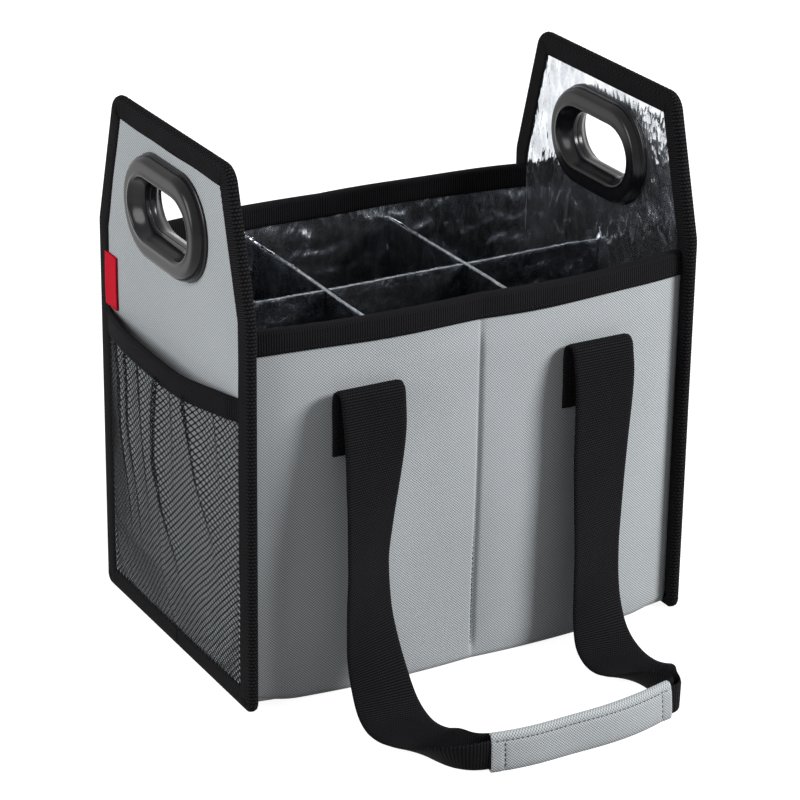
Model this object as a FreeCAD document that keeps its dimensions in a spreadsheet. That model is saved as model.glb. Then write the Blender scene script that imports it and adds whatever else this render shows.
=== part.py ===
import FreeCAD, Part
import math
import os
import Sketcher
from FreeCAD import Vector

# Soft carrier bag with six cells. The origin is on the floor under the middle of the bag,
# X runs along the bag, Y from the front wall to the back wall and Z up.

SIZES = [
    ("bag_length", 276, "length over the bindings of both ends"),
    ("body_depth", 170, "front wall to back wall, at the ends"),
    ("wall_bow", 8, "how far each half of a long wall bows out"),
    ("crease_draw", 0.7, "how far the centre crease is drawn back in from the bow"),
    ("rim_height", 217, "floor to the top of the long walls"),
    ("cloth", 1.2, "outer cloth"),
    ("foam", 4, "padding in the long walls"),
    ("lining", 0.6, "foil lining"),
    ("base_board", 4, "padded board in the bottom"),
    ("crease_gap", 3, "space between two padding panels at the crease"),
    ("tape", 0.8, "binding tape"),
    ("tape_width", 12.5, "binding tape on each face of an end"),
    ("rim_tape_width", 13, "binding tape on each face of a long wall"),
    ("flange", 8, "how far an end stands proud of the long walls"),
    ("end_rise", 86, "how far an end rises above the long walls"),
    ("end_top_width", 141, "width of an end at its top"),
    ("taper_rise", 8, "top of the long walls to where an end starts to narrow"),
    ("end_corner", 20, "radius of the top corners of an end"),
    ("end_foot", 6, "radius of the bottom corners of an end"),
    ("end_board", 2.6, "stiffener in an end"),
    ("grip_drop", 49, "top of an end down to the middle of the hand hole"),
    ("grip_length", 93, "outer length of the plastic grip"),
    ("grip_height", 60, "outer height of the plastic grip"),
    ("hole_length", 60, "length of the hand hole"),
    ("hole_height", 28, "height of the hand hole"),
    ("grip_proud", 8, "how far the grip stands off the cloth"),
    ("grip_base", 1.2, "thin flange of the grip on the cloth"),
    ("grip_ledge", 0.8, "how far that flange shows round the rim"),
    ("grip_roll", 4.5, "radius of the outer edge of the rim"),
    ("grip_ease", 2.5, "radius of the edge of the rim beside the hole"),
    ("grip_neck", 2, "wall of the neck that passes through an end"),
    ("grip_play", 0.2, "clearance round the neck"),
    ("divider", 3, "thickness of a divider"),
    ("divider_drop", 20, "top of the long walls down to the top of the dividers"),
    ("slot_play", 0.2, "clearance on each side of a divider slot"),
    ("pocket_drop", 41.5, "top of the long walls down to the top of the pocket"),
    ("pocket_band", 1.6, "tape along the top of the pocket"),
    ("pocket_band_width", 13, "width of that tape"),
    ("pocket_bulge", 9, "how far the pocket stands off the end"),
    ("mesh", 1, "thickness of the pocket mesh"),
    ("mesh_strand", 3, "width of the mesh between two of its gaps"),
    ("mesh_margin", 3, "whole mesh beside the seams of the pocket"),
    ("gather", 2.2, "half depth of the gathers"),
    ("seam_play", 0.3, "clearance beside the binding of an end"),
    ("tab_width", 12, "red tab, out from the binding"),
    ("tab_length", 31, "red tab, up and down"),
    ("tab_gap", 1.5, "top of the pocket up to the bottom of the tab"),
    ("tab", 1, "thickness of the tab"),
    ("strap_width", 38, "carrying strap webbing"),
    ("strap", 1.6, "thickness of the webbing"),
    ("strap_spacing", 143, "between the middles of the two legs of a strap"),
    ("strap_drop", 41, "top of the long walls down to where the strap turns over"),
    ("patch_length", 33, "sewn end of the strap below that level"),
    ("strap_turn", 5, "radius of the turn at the top of a leg"),
    ("strap_fold", 1.5, "half width of the bottom of the lengthwise fold"),
    ("wrap", 1.2, "cloth of the sleeve round the strap"),
    ("wrap_start", -54, "left end of the sleeve"),
    ("wrap_end", 60, "right end of the sleeve"),
]

doc = FreeCAD.newDocument("bottle_carrier_bag")
sheet = doc.addObject("Spreadsheet::Sheet", "sizes")
for row, (alias, size, note) in enumerate(SIZES, 1):
    sheet.set("A%d" % row, note)
    sheet.set("B%d" % row, str(size))
    sheet.setAlias("B%d" % row, alias)
doc.recompute()

# Formulas that several pieces share
WALL = "(sizes.cloth + sizes.foam + sizes.lining)"
END_STACK = "(sizes.cloth + sizes.end_board + sizes.lining)"
INNER_X = "(sizes.bag_length / 2 - sizes.tape - %s)" % END_STACK
COVER_X = "(sizes.bag_length / 2 - sizes.tape)"
TAPE_X = "(sizes.bag_length / 2 - 2 * sizes.tape - %s)" % END_STACK
WALL_TOP = "(sizes.rim_height - sizes.tape)"
END_TOP = "(sizes.rim_height + sizes.end_rise)"
TAPER_LEVEL = "(sizes.rim_height + sizes.taper_rise)"
GRIP_LEVEL = "(%s - sizes.grip_drop)" % END_TOP
DIVIDER_TOP = "(sizes.rim_height - sizes.divider_drop)"
POCKET_TOP = "(sizes.rim_height - sizes.pocket_drop)"
BOARD_TOP = "(sizes.cloth + sizes.base_board)"
FLOOR = "(sizes.cloth + sizes.base_board + sizes.lining)"
BOARD_ROUND = "(0.9 * sizes.base_board)"
OVERCUT = 5
NEAR = 0.01


def value(formula):
    """The number that a formula gives in millimetres."""
    return float(sheet.evalExpression(formula))


def size(name):
    return float(sheet.get(name))


# Sketches whose points are tied to the sheet

def tie_point(sketch, geometry, position, across, up):
    """Hold one point of a sketch at two formulas."""
    for kind, formula in (("DistanceX", across), ("DistanceY", up)):
        number = sketch.addConstraint(Sketcher.Constraint(kind, geometry, position, value(formula)))
        sketch.setExpression("Constraints[%d]" % number, formula)


def tie_radius(sketch, geometry, formula):
    number = sketch.addConstraint(Sketcher.Constraint("Radius", geometry, value(formula)))
    sketch.setExpression("Constraints[%d]" % number, formula)


def new_sketch(body, plane, name, lift=None):
    sketch = body.newObject("Sketcher::SketchObject", name)
    support = [item for item in body.Origin.OriginFeatures if item.Role == plane][0]
    sketch.AttachmentSupport = [(support, "")]
    sketch.MapMode = "FlatFace"
    if lift:
        sketch.setExpression("AttachmentOffset.Base.z", lift)
    return sketch


def draw_stadium(sketch, length, height, level):
    """A long hole or rim with round ends, its middle at a level on the sketch's own Y."""
    reach = "((%s) - (%s)) / 2" % (length, height)
    radius = "(%s) / 2" % height
    x, y, r = value(reach), value(level), value(radius)
    up = Vector(0, 0, 1)
    quarter = math.pi / 2
    right_circle, left_circle = Part.Circle(Vector(x, y, 0), up, r), Part.Circle(Vector(-x, y, 0), up, r)
    right = sketch.addGeometry(Part.ArcOfCircle(right_circle, -quarter, quarter))
    left = sketch.addGeometry(Part.ArcOfCircle(left_circle, quarter, 3 * quarter))
    top = sketch.addGeometry(Part.LineSegment(Vector(x, y + r, 0), Vector(-x, y + r, 0)))
    bottom = sketch.addGeometry(Part.LineSegment(Vector(-x, y - r, 0), Vector(x, y - r, 0)))
    sketch.addConstraint(Sketcher.Constraint("Tangent", right, 2, top, 1))
    sketch.addConstraint(Sketcher.Constraint("Tangent", top, 2, left, 1))
    sketch.addConstraint(Sketcher.Constraint("Tangent", left, 2, bottom, 1))
    sketch.addConstraint(Sketcher.Constraint("Tangent", bottom, 2, right, 1))
    tie_point(sketch, right, 3, reach, level)
    tie_point(sketch, left, 3, "-" + reach, level)
    tie_radius(sketch, right, radius)


def draw_rounded(sketch, corners):
    """A closed outline from corners in counter-clockwise order: across, up and radius."""
    points = [Vector(value(across), value(up), 0) for across, up, radius in corners]
    count = len(points)
    marks = []
    ends = []
    for i, (across, up, radius) in enumerate(corners):
        mark = sketch.addGeometry(Part.Point(points[i]), True)
        tie_point(sketch, mark, 1, across, up)
        marks.append(mark)
        before = (points[i - 1] - points[i]).normalize()
        after = (points[(i + 1) % count] - points[i]).normalize()
        r = value(radius)
        back = r / math.tan(before.getAngle(after) / 2)
        middle = points[i] + (before + after).normalize() * math.hypot(r, back)
        ends.append((points[i] + before * back, points[i] + after * back, middle, r))
    lines = []
    for i in range(count):
        line = Part.LineSegment(ends[i][1], ends[(i + 1) % count][0])
        lines.append(sketch.addGeometry(line))
        sketch.addConstraint(Sketcher.Constraint("PointOnObject", marks[i], 1, lines[i]))
        sketch.addConstraint(Sketcher.Constraint("PointOnObject", marks[(i + 1) % count], 1, lines[i]))
    for i, (across, up, radius) in enumerate(corners):
        first, last, middle, r = ends[i]
        start = math.atan2(first.y - middle.y, first.x - middle.x)
        finish = math.atan2(last.y - middle.y, last.x - middle.x)
        if finish < start:
            finish += 2 * math.pi
        circle = Part.Circle(middle, Vector(0, 0, 1), r)
        arc = sketch.addGeometry(Part.ArcOfCircle(circle, start, finish))
        sketch.addConstraint(Sketcher.Constraint("Tangent", lines[i - 1], 2, arc, 1))
        sketch.addConstraint(Sketcher.Constraint("Tangent", arc, 2, lines[i], 1))
        tie_radius(sketch, arc, radius)


def draw_plan(sketch, inset, overrun=None):
    """The bag seen from above: two bowed lobes on each long side, which meet at the crease.

    inset moves the long sides in. overrun lengthens them straight past the ends."""
    end_y = "(sizes.body_depth / 2 - (%s))" % inset
    lobe_y = "(sizes.body_depth / 2 + sizes.wall_bow - (%s))" % inset
    crease_y = "(sizes.body_depth / 2 + sizes.wall_bow - sizes.crease_draw - (%s))" % inset
    lobe_x = INNER_X + " / 2"
    spots = [("-" + INNER_X, "-" + end_y), ("0", "-" + crease_y), (INNER_X, "-" + end_y)]
    spots += [(INNER_X, end_y), ("0", crease_y), ("-" + INNER_X, end_y)]
    lobes = {0: ("-" + lobe_x, "-" + lobe_y), 1: (lobe_x, "-" + lobe_y)}
    lobes.update({3: (lobe_x, lobe_y), 4: ("-" + lobe_x, lobe_y)})
    if overrun:
        far = "(%s + %s)" % (INNER_X, overrun)
        spots = [("-" + far, "-" + end_y)] + spots[:3] + [(far, "-" + end_y), (far, end_y)]
        spots += [(INNER_X, end_y), ("0", crease_y), ("-" + INNER_X, end_y), ("-" + far, end_y)]
        lobes = {1: lobes[0], 2: lobes[1], 6: lobes[3], 7: lobes[4]}
    count = len(spots)
    edges = []
    for i, (across, up) in enumerate(spots):
        start = Vector(value(across), value(up), 0)
        finish = Vector(value(spots[(i + 1) % count][0]), value(spots[(i + 1) % count][1]), 0)
        if i in lobes:
            via = Vector(value(lobes[i][0]), value(lobes[i][1]), 0)
            arc = Part.Arc(start, via, finish)
            edges.append(sketch.addGeometry(arc))
            mark = sketch.addGeometry(Part.Point(via), True)
            tie_point(sketch, mark, 1, *lobes[i])
            sketch.addConstraint(Sketcher.Constraint("PointOnObject", mark, 1, edges[-1]))
        else:
            edges.append(sketch.addGeometry(Part.LineSegment(start, finish)))
    for i, (across, up) in enumerate(spots):
        sketch.addConstraint(Sketcher.Constraint("Coincident", edges[i - 1], 2, edges[i], 1))
        tie_point(sketch, edges[i], 1, across, up)


def pad(body, sketch, length, name="pad"):
    feature = body.newObject("PartDesign::Pad", name)
    feature.Profile = sketch
    feature.setExpression("Length", length)
    return feature


# Building blocks that become pieces or cut them

def plan_block(name, inset, bottom, top, overrun=None, rounding=None):
    """A block with the bag's plan between two heights, with rounded long bottom edges if asked."""
    body = doc.addObject("PartDesign::Body", name)
    sketch = new_sketch(body, "XY_Plane", name + "_plan", bottom)
    draw_plan(sketch, inset, overrun)
    block = pad(body, sketch, "(%s) - (%s)" % (top, bottom), name + "_pad")
    doc.recompute()
    if rounding:
        floor_level = value(bottom)
        edges = []
        for i, edge in enumerate(block.Shape.Edges, 1):
            box = edge.BoundBox
            if box.ZMax < floor_level + NEAR and box.XLength > box.YLength:
                edges.append("Edge%d" % i)
        fillet = body.newObject("PartDesign::Fillet", name + "_fillet")
        fillet.Base = (block, edges)
        fillet.setExpression("Radius", rounding)
        doc.recompute()
    return body


def end_corners(inset):
    """The corners of an end seen along X, moved in by an inset, counter-clockwise from the front foot."""
    half = "(sizes.body_depth / 2 + sizes.flange)"
    lean = "atan2(%s - sizes.end_top_width / 2; %s - %s)" % (half, END_TOP, TAPER_LEVEL)
    foot_y = "(%s - %s)" % (half, inset)
    kink_z = "(%s - %s * tan(%s / 2))" % (TAPER_LEVEL, inset, lean)
    top_y = "(sizes.end_top_width / 2 - %s * (1 - sin(%s)) / cos(%s))" % (inset, lean, lean)
    top_z = "(%s - %s)" % (END_TOP, inset)
    foot_radius = "max(sizes.end_foot - %s; 0.5)" % inset
    top_radius = "max(sizes.end_corner - %s; 0.5)" % inset
    kink_radius = "sizes.end_corner"
    return [("-" + foot_y, inset, foot_radius), (foot_y, inset, foot_radius),
            (foot_y, kink_z, kink_radius), (top_y, top_z, top_radius),
            ("-" + top_y, top_z, top_radius), ("-" + foot_y, kink_z, kink_radius)]


def end_layer(name, inset, near, thickness, hole=False, opening=None):
    """A flat layer of an end from the distance near outward, on either side of the bag."""
    body = doc.addObject("PartDesign::Body", name)
    sketch = new_sketch(body, "YZ_Plane", name + "_outline")
    draw_rounded(sketch, end_corners(inset))
    if hole:
        neck_length = "sizes.hole_length + 2 * sizes.grip_neck + 2 * sizes.grip_play"
        neck_height = "sizes.hole_height + 2 * sizes.grip_neck + 2 * sizes.grip_play"
        draw_stadium(sketch, neck_length, neck_height, GRIP_LEVEL)
    if opening:
        draw_rounded(sketch, end_corners(opening))
    pad(body, sketch, thickness, name + "_pad")
    if name.endswith("left"):
        body.setExpression("Placement.Base.x", "-(%s) - (%s)" % (near, thickness))
    else:
        body.setExpression("Placement.Base.x", near)
    return body


def box(name, low, high):
    """A plain block between two corners given as formulas."""
    block = doc.addObject("Part::Box", name)
    for side, axis, a, b in zip(("Length", "Width", "Height"), "xyz", low, high):
        block.setExpression(side, "(%s) - (%s)" % (b, a))
        block.setExpression("Placement.Base." + axis, a)
    return block


def cut(name, base, tool):
    feature = doc.addObject("Part::Cut", name)
    feature.Base = base
    feature.Tool = tool
    return feature


def common(name, base, tool):
    feature = doc.addObject("Part::Common", name)
    feature.Base = base
    feature.Tool = tool
    return feature


PIECES = []


def keep(piece, label):
    piece.Label = label
    PIECES.append(piece)
    return piece


# The long walls and the bottom

def make_shell():
    """One cloth: front wall, bottom and back wall."""
    outer = plan_block("shell_outer", "0", "0", WALL_TOP, rounding="%s + sizes.cloth" % BOARD_ROUND)
    inner = plan_block("shell_inner", "sizes.cloth", "sizes.cloth", "%s + %d" % (WALL_TOP, OVERCUT),
                       overrun=str(OVERCUT), rounding=BOARD_ROUND)
    keep(cut("body_shell_cut", outer, inner), "body_shell")


def make_base_board():
    board = plan_block("base_board_body", "sizes.cloth", "sizes.cloth", BOARD_TOP, rounding=BOARD_ROUND)
    keep(board, "base_board")


def make_foam():
    """Padding in the long walls, in two panels each, parted at the crease."""
    outer = plan_block("foam_outer", "sizes.cloth", BOARD_TOP, WALL_TOP)
    inner = plan_block("foam_inner", "sizes.cloth + sizes.foam", "%s - %d" % (BOARD_TOP, OVERCUT),
                       "%s + %d" % (WALL_TOP, OVERCUT), overrun=str(OVERCUT))
    ring = cut("foam_both_walls", outer, inner)
    half = "(sizes.bag_length / 2)"
    deep = "sizes.body_depth"
    for wall, low_y, high_y in (("front", "-" + deep, "0"), ("back", "0", deep)):
        for side in ("left", "right"):
            low_x, high_x = "sizes.crease_gap / 2", half
            if side == "left":
                low_x, high_x = "-" + half, "-sizes.crease_gap / 2"
            name = "%s_foam_%s" % (wall, side)
            region = box(name + "_region", (low_x, low_y, "0"), (high_x, high_y, "sizes.rim_height"))
            keep(common(name + "_panel", ring, region), name)


def make_lining():
    outer = plan_block("lining_outer", "sizes.cloth + sizes.foam", BOARD_TOP, WALL_TOP)
    inner = plan_block("lining_inner", WALL, FLOOR, "%s + %d" % (WALL_TOP, OVERCUT), overrun=str(OVERCUT))
    keep(cut("body_lining_cut", outer, inner), "body_lining")


def make_rim_bindings():
    """Tape folded over the top of each long wall."""
    bottom = "sizes.rim_height - sizes.rim_tape_width"
    outer = plan_block("rim_outer", "-sizes.tape", bottom, "sizes.rim_height")
    inner = plan_block("rim_inner", "%s + sizes.tape" % WALL, "%s - %d" % (bottom, OVERCUT),
                       "sizes.rim_height + %d" % OVERCUT, overrun=str(OVERCUT))
    wall_outer = plan_block("rim_wall_outer", "0", "%s - %d" % (bottom, OVERCUT), WALL_TOP,
                            overrun=str(OVERCUT))
    wall_inner = plan_block("rim_wall_inner", WALL, "%s - %d" % (bottom, 2 * OVERCUT),
                            "%s + %d" % (WALL_TOP, OVERCUT), overrun=str(2 * OVERCUT))
    band = cut("rim_band", outer, inner)
    wall = cut("rim_wall", wall_outer, wall_inner)
    tape = cut("rim_tape", band, wall)
    for side, low_y, high_y in (("front", "-sizes.body_depth", "0"), ("back", "0", "sizes.body_depth")):
        region = box("rim_region_" + side, ("-" + TAPE_X, low_y, "0"), (TAPE_X, high_y, END_TOP))
        keep(common("rim_binding_%s_tape" % side, tape, region), "rim_binding_" + side)


# The ends

def make_ends():
    """Three layers and a binding that folds round their whole edge."""
    body_hull = plan_block("body_hull", "0", "0", "sizes.rim_height")
    for side in ("left", "right"):
        layer_x = INNER_X
        for name, thickness in (("end_lining", "sizes.lining"), ("end_board", "sizes.end_board"),
                                ("end_panel", "sizes.cloth")):
            label = "%s_%s" % (name, side)
            layer = end_layer("%s_body_%s" % (name, side), "sizes.tape", layer_x, thickness, hole=True)
            keep(layer, label)
            layer_x = "%s + %s" % (layer_x, thickness)
        ring = end_layer("end_tape_" + side, "0", TAPE_X, "2 * sizes.tape + " + END_STACK,
                         opening="sizes.tape_width")
        slab = end_layer("end_slab_" + side, "sizes.tape", INNER_X, END_STACK)
        tape = cut("end_binding_%s_fold" % side, ring, slab)
        keep(cut("end_binding_%s_trim" % side, tape, body_hull), "end_binding_" + side)


def crown_edges(shape, half_height):
    """Edges of a rim's top face that run round a stadium of this half height."""
    crown = shape.BoundBox.XMax
    level = value(GRIP_LEVEL)
    names = []
    for i, edge in enumerate(shape.Edges, 1):
        box = edge.BoundBox
        reach = max(box.ZMax - level, level - box.ZMin)
        if box.XMin > crown - NEAR and abs(reach - half_height) < NEAR:
            names.append("Edge%d" % i)
    return names


def make_grip_half(label):
    """A neck, a thin flange on the cloth and a rim with a rolled outer edge and an eased hole."""
    depth = END_STACK + " / 2"
    hole = ("sizes.hole_length", "sizes.hole_height")
    neck = ("sizes.hole_length + 2 * sizes.grip_neck", "sizes.hole_height + 2 * sizes.grip_neck")
    base = ("sizes.grip_length", "sizes.grip_height")
    rim = ("sizes.grip_length - 2 * sizes.grip_ledge", "sizes.grip_height - 2 * sizes.grip_ledge")
    body = doc.addObject("PartDesign::Body", label + "_body")
    rings = [("neck", neck, None, depth), ("base", base, depth, "sizes.grip_base"),
             ("rim", rim, depth, "sizes.grip_proud")]
    for name, outline, lift, length in rings:
        sketch = new_sketch(body, "YZ_Plane", "%s_%s_outline" % (label, name), lift)
        draw_stadium(sketch, outline[0], outline[1], GRIP_LEVEL)
        draw_stadium(sketch, hole[0], hole[1], GRIP_LEVEL)
        block = pad(body, sketch, length, "%s_%s" % (label, name))
    wall = "(sizes.grip_proud - sizes.grip_base) * 0.9"
    for name, stadium, radius in (("roll", rim[1], "sizes.grip_roll"), ("ease", hole[1], "sizes.grip_ease")):
        doc.recompute()
        edges = crown_edges(block.Shape, value(stadium) / 2)
        rounding = body.newObject("PartDesign::Fillet", "%s_%s" % (label, name))
        rounding.Base = (block, edges)
        rounding.setExpression("Radius", "min(%s; %s)" % (radius, wall))
        block = rounding
    return body


def make_grips():
    """Plastic halves that meet inside the hole of an end."""
    middle = "(%s + %s / 2)" % (INNER_X, END_STACK)
    for side in ("left", "right"):
        for half in ("outer", "inner"):
            label = "grip_%s_%s" % (half, side)
            body = make_grip_half(label)
            faces_out = (side == "right") == (half == "outer")
            body.Placement.Rotation = FreeCAD.Rotation(Vector(0, 0, 1), 0 if faces_out else 180)
            body.setExpression("Placement.Base.x", middle if side == "right" else "-" + middle)
            keep(body, label)


# The dividers

def make_dividers():
    """A long divider slotted from its top and two cross dividers slotted from below."""
    half = "(sizes.divider / 2)"
    slot = "(sizes.divider / 2 + sizes.slot_play)"
    middle = "((%s + %s) / 2)" % (FLOOR, DIVIDER_TOP)
    cross_x = "(%s / 3)" % INNER_X
    long_wall = box("divider_long_wall", ("-" + INNER_X, "-" + half, FLOOR), (INNER_X, half, DIVIDER_TOP))
    high = "%s + %d" % (DIVIDER_TOP, OVERCUT)
    for side, place in (("left", "-" + cross_x), ("right", cross_x)):
        notch = box("long_slot_" + side, (place + " - " + slot, "-" + slot, middle),
                    (place + " + " + slot, slot, high))
        long_wall = cut("divider_long_slot_" + side, long_wall, notch)
    keep(long_wall, "divider_long")
    cells = plan_block("cell_space", WALL, FLOOR, DIVIDER_TOP)
    for side, place in (("left", "-" + cross_x), ("right", cross_x)):
        strip = box("cross_strip_" + side, (place + " - " + half, "-sizes.body_depth", "0"),
                    (place + " + " + half, "sizes.body_depth", END_TOP))
        wall = common("cross_wall_" + side, strip, cells)
        notch = box("cross_slot_" + side, (place + " - sizes.divider", "-" + slot, "0"),
                    (place + " + sizes.divider", slot, middle))
        keep(cut("divider_cross_%s_slot" % side, wall, notch), "divider_cross_" + side)


# The pocket on the left end

GATHERS = 7
GATHER_STEPS = 6
TURN_STEPS = 6
GAP_COLUMNS = 8
GAP_ROWS = 15


def pocket_half():
    return size("body_depth") / 2 + size("flange") - size("tape_width") - size("seam_play")


def pocket_curve(level, bulge, gather, offset):
    """A spline across the pocket at one level: a bowed line with gathers that die out at the sides."""
    half = pocket_half()
    base = value(COVER_X) + offset
    count = GATHERS * GATHER_STEPS
    points = []
    for i in range(count + 1):
        along = 2.0 * i / count - 1
        bow = (1 - along ** 4) * bulge
        wave = (1 - along ** 6) * gather * (1 + math.sin(math.pi * GATHERS * along))
        points.append(Vector(-(base + bow + wave * bow / (bow + gather + NEAR)), half * along, level))
    curve = Part.BSplineCurve()
    curve.interpolate(points)
    return curve.toShape()


def pocket_wire(level, bulge, gather, thickness):
    inner = pocket_curve(level, bulge, gather, 0)
    outer = pocket_curve(level, bulge, gather, thickness)
    low = Part.makeLine(inner.Vertexes[0].Point, outer.Vertexes[0].Point)
    high = Part.makeLine(outer.Vertexes[1].Point, inner.Vertexes[1].Point)
    return Part.Wire([low, outer, high, inner])


def mesh_gaps(foot, head):
    """Diamond prisms along X in offset rows, one strand apart, that open the mesh of the pocket."""
    margin = size("mesh_margin")
    wide = 2 * (pocket_half() - margin) / GAP_COLUMNS
    tall = 2 * (head - foot - 2 * margin) / (GAP_ROWS + 1)
    slant = math.hypot(wide, tall)
    reach_y = wide / 2 - size("mesh_strand") / 2 * slant / tall
    reach_z = tall / 2 - size("mesh_strand") / 2 * slant / wide
    depth = size("pocket_bulge") + 2 * size("gather") + size("mesh") + 2 * OVERCUT
    start = -(value(COVER_X) + depth - OVERCUT)
    prisms = []
    for row in range(GAP_ROWS):
        columns = GAP_COLUMNS - row % 2
        level = foot + margin + tall / 2 * (row + 1)
        for column in range(columns):
            across = wide * (column - (columns - 1) / 2)
            corners = [(0, -reach_z), (reach_y, 0), (0, reach_z), (-reach_y, 0), (0, -reach_z)]
            outline = Part.makePolygon([Vector(start, across + y, level + z) for y, z in corners])
            prisms.append(Part.Face(outline).extrude(Vector(depth, 0, 0)))
    return Part.makeCompound(prisms)


def make_pocket():
    """Mesh gathered under a tape band, flat at the bottom of the end and bulging above it."""
    foot = size("tape_width") + size("seam_play")
    head = value(POCKET_TOP) - size("pocket_band_width")
    bulge, gather, thick = size("pocket_bulge"), size("gather"), size("mesh")
    shares = [(0, 0.02, 0), (0.25, 0.8, 0.2), (0.65, 1.1, 0.7), (0.93, 1.03, 1), (1, 1, 0.25)]
    wires = []
    for up, out, wave in shares:
        wires.append(pocket_wire(foot + (head - foot) * up, bulge * out, gather * wave, thick))
    mesh = doc.addObject("Part::Feature", "pocket_mesh_sheet")
    mesh.Shape = Part.makeLoft(wires, True, False).cut(mesh_gaps(foot, head))
    keep(mesh, "pocket_mesh")
    band = doc.addObject("Part::Feature", "pocket_band_tape")
    face = Part.Face(pocket_wire(head, bulge, 0, size("pocket_band")))
    band.Shape = face.extrude(Vector(0, 0, size("pocket_band_width")))
    keep(band, "pocket_band")


def make_tab():
    edge = "(sizes.body_depth / 2 + sizes.flange - sizes.tape_width)"
    foot = POCKET_TOP + " + sizes.tab_gap"
    low = ("-%s - sizes.tab" % COVER_X, edge + " - sizes.tab_width", foot)
    high = ("-" + COVER_X, edge, foot + " + sizes.tab_length")
    keep(box("side_tab_box", low, high), "side_tab")


# The carrying straps
# Each leg is a list of stations on the middle line of the webbing: sideways from the leg's place,
# out from the wall, height as a share of the level where the strap turns over, twist in degrees and
# opening of the lengthwise fold in degrees. OPEN is the opening where the webbing lies flat.

OPEN = 180
LEFT_HANG = [
    (0, 13.2, 0.9045, 3, OPEN), (-0.5, 14, 0.8136, 8, OPEN), (-2, 14, 0.6318, 20, OPEN),
    (-3.5, 14, 0.4557, 28, OPEN), (-3.5, 15.5, 0.2795, 23, OPEN), (-2.5, 19, 0.1659, 14, OPEN),
    (-1.5, 25, 0.0807, 8, OPEN), (-1.5, 33, 0.0267, 4, OPEN), (-2, 43, 0.0034, 0, OPEN),
    (-2.8, 54, 0, -2, 168), (-3, 66, 0, 0, 130), (-2.4, 77, 0.0006, 6, 82),
    (-0.4, 88, 0.0017, 16, 40), (3.2, 98, 0.004, 34, 8), (9.5, 105, 0.0062, 62, 0),
]
RIGHT_HANG = [
    (0, 12.8, 0.9386, 1, OPEN), (0, 13.5, 0.8477, 3, OPEN), (0, 12.2, 0.6886, 7, OPEN),
    (0, 11.8, 0.5068, 13, OPEN), (0, 12, 0.325, 18, OPEN), (0, 13, 0.1886, 17, OPEN),
    (0, 16, 0.0977, 13, OPEN), (0, 22, 0.0352, 8, OPEN), (-0.4, 32, 0.0057, 3, OPEN),
    (-1, 44, 0, 0, OPEN), (-1.6, 56, 0, 0, 160), (-2, 68, 0, 0, 118),
    (-2.2, 79, 0.0006, 0, 68), (-2.6, 89, 0.0023, -2, 26), (-3, 96, 0.0045, -12, 4),
    (-5, 100.4, 0.0062, -45, 0),
]
WRAP_BOW = [(0, 108), (0.36, 111.3), (0.62, 110.4), (0.84, 106.8), (1, 102.6)]


def wall_face():
    """How far the bowed wall reaches from the middle of the bag, at the top of a lobe."""
    length = value(INNER_X)
    end_y = size("body_depth") / 2
    lobe = Vector(length / 2, end_y + size("wall_bow"), 0)
    crease = Vector(0, end_y + size("wall_bow") - size("crease_draw"), 0)
    circle = Part.Arc(Vector(length, end_y, 0), lobe, crease).toShape().Curve
    return circle.Center.y + circle.Radius


def strap_stations():
    """Middle line, twist and fold of the front strap from its left end to its right end."""
    thick, turn, level = size("strap"), size("strap_turn"), size("rim_height") - size("strap_drop")
    patch = size("patch_length")
    sewn = thick / 2
    legs = []
    for sign, hang in ((-1, LEFT_HANG), (1, RIGHT_HANG)):
        side = sign * size("strap_spacing") / 2
        leg = [(side, sewn, level - patch, 0, OPEN), (side, sewn, level - patch / 2, 0, OPEN)]
        for step in range(TURN_STEPS + 1):
            angle = math.pi * step / TURN_STEPS
            leg.append((side, sewn + turn * (1 - math.cos(angle)), level + turn * math.sin(angle), 0, OPEN))
        for x, out, share, twist, opening in hang:
            leg.append((side + x, out, thick / 2 + level * share, twist, opening))
        legs.append(leg)
    start, finish = size("wrap_start"), size("wrap_end")
    lift = size("wrap") + thick / 2
    wrap = [(start + (finish - start) * share, out, lift, 0, 0) for share, out in WRAP_BOW]
    face = wall_face()
    route = legs[0] + wrap + legs[1][::-1]
    points = [Vector(x, -(face + out), z) for x, out, z, twist, opening in route]
    return route, points, len(legs[0]), len(wrap)


def strap_frames(first=0, last=None):
    """Places along the strap with their direction, width direction and fold opening."""
    route, points, left_count, wrap_count = strap_stations()
    last = len(points) - 1 if last is None else last
    sewn = TURN_STEPS + 2
    curve = Part.BSplineCurve()
    curve.interpolate(points)
    knots = curve.getKnots()
    wrap_first, wrap_last = left_count, left_count + wrap_count - 1
    frames = []
    for i in range(first, last + 1):
        parts = 1 if i < sewn or i == last or i >= len(points) - 1 - sewn else 2
        for step in range(parts):
            share = step / parts
            here = knots[i] + (knots[i + 1] - knots[i]) * share if step else knots[i]
            place = curve.value(here)
            along = Vector(*curve.tangent(here)[0])
            after = route[min(i + 1, len(route) - 1)]
            twist = route[i][3] + (after[3] - route[i][3]) * share
            opening = route[i][4] + (after[4] - route[i][4]) * share
            heading = math.radians(twist)
            across = Vector(math.cos(heading), math.sin(heading), 0)
            if i > wrap_last or (i == wrap_last and step):
                along = along * -1
            if opening < 60 or wrap_first <= i <= wrap_last:
                level = Vector(along.x, along.y, 0).normalize()
                across = Vector(-level.y, level.x, 0)
                along = level
            if wrap_first <= i < wrap_last and i > wrap_first:
                opening = 0
            across = (across - along * across.dot(along)).normalize()
            frames.append((place, along, across, opening, i > wrap_last or (i == wrap_last and step > 0)))
    return frames


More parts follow.
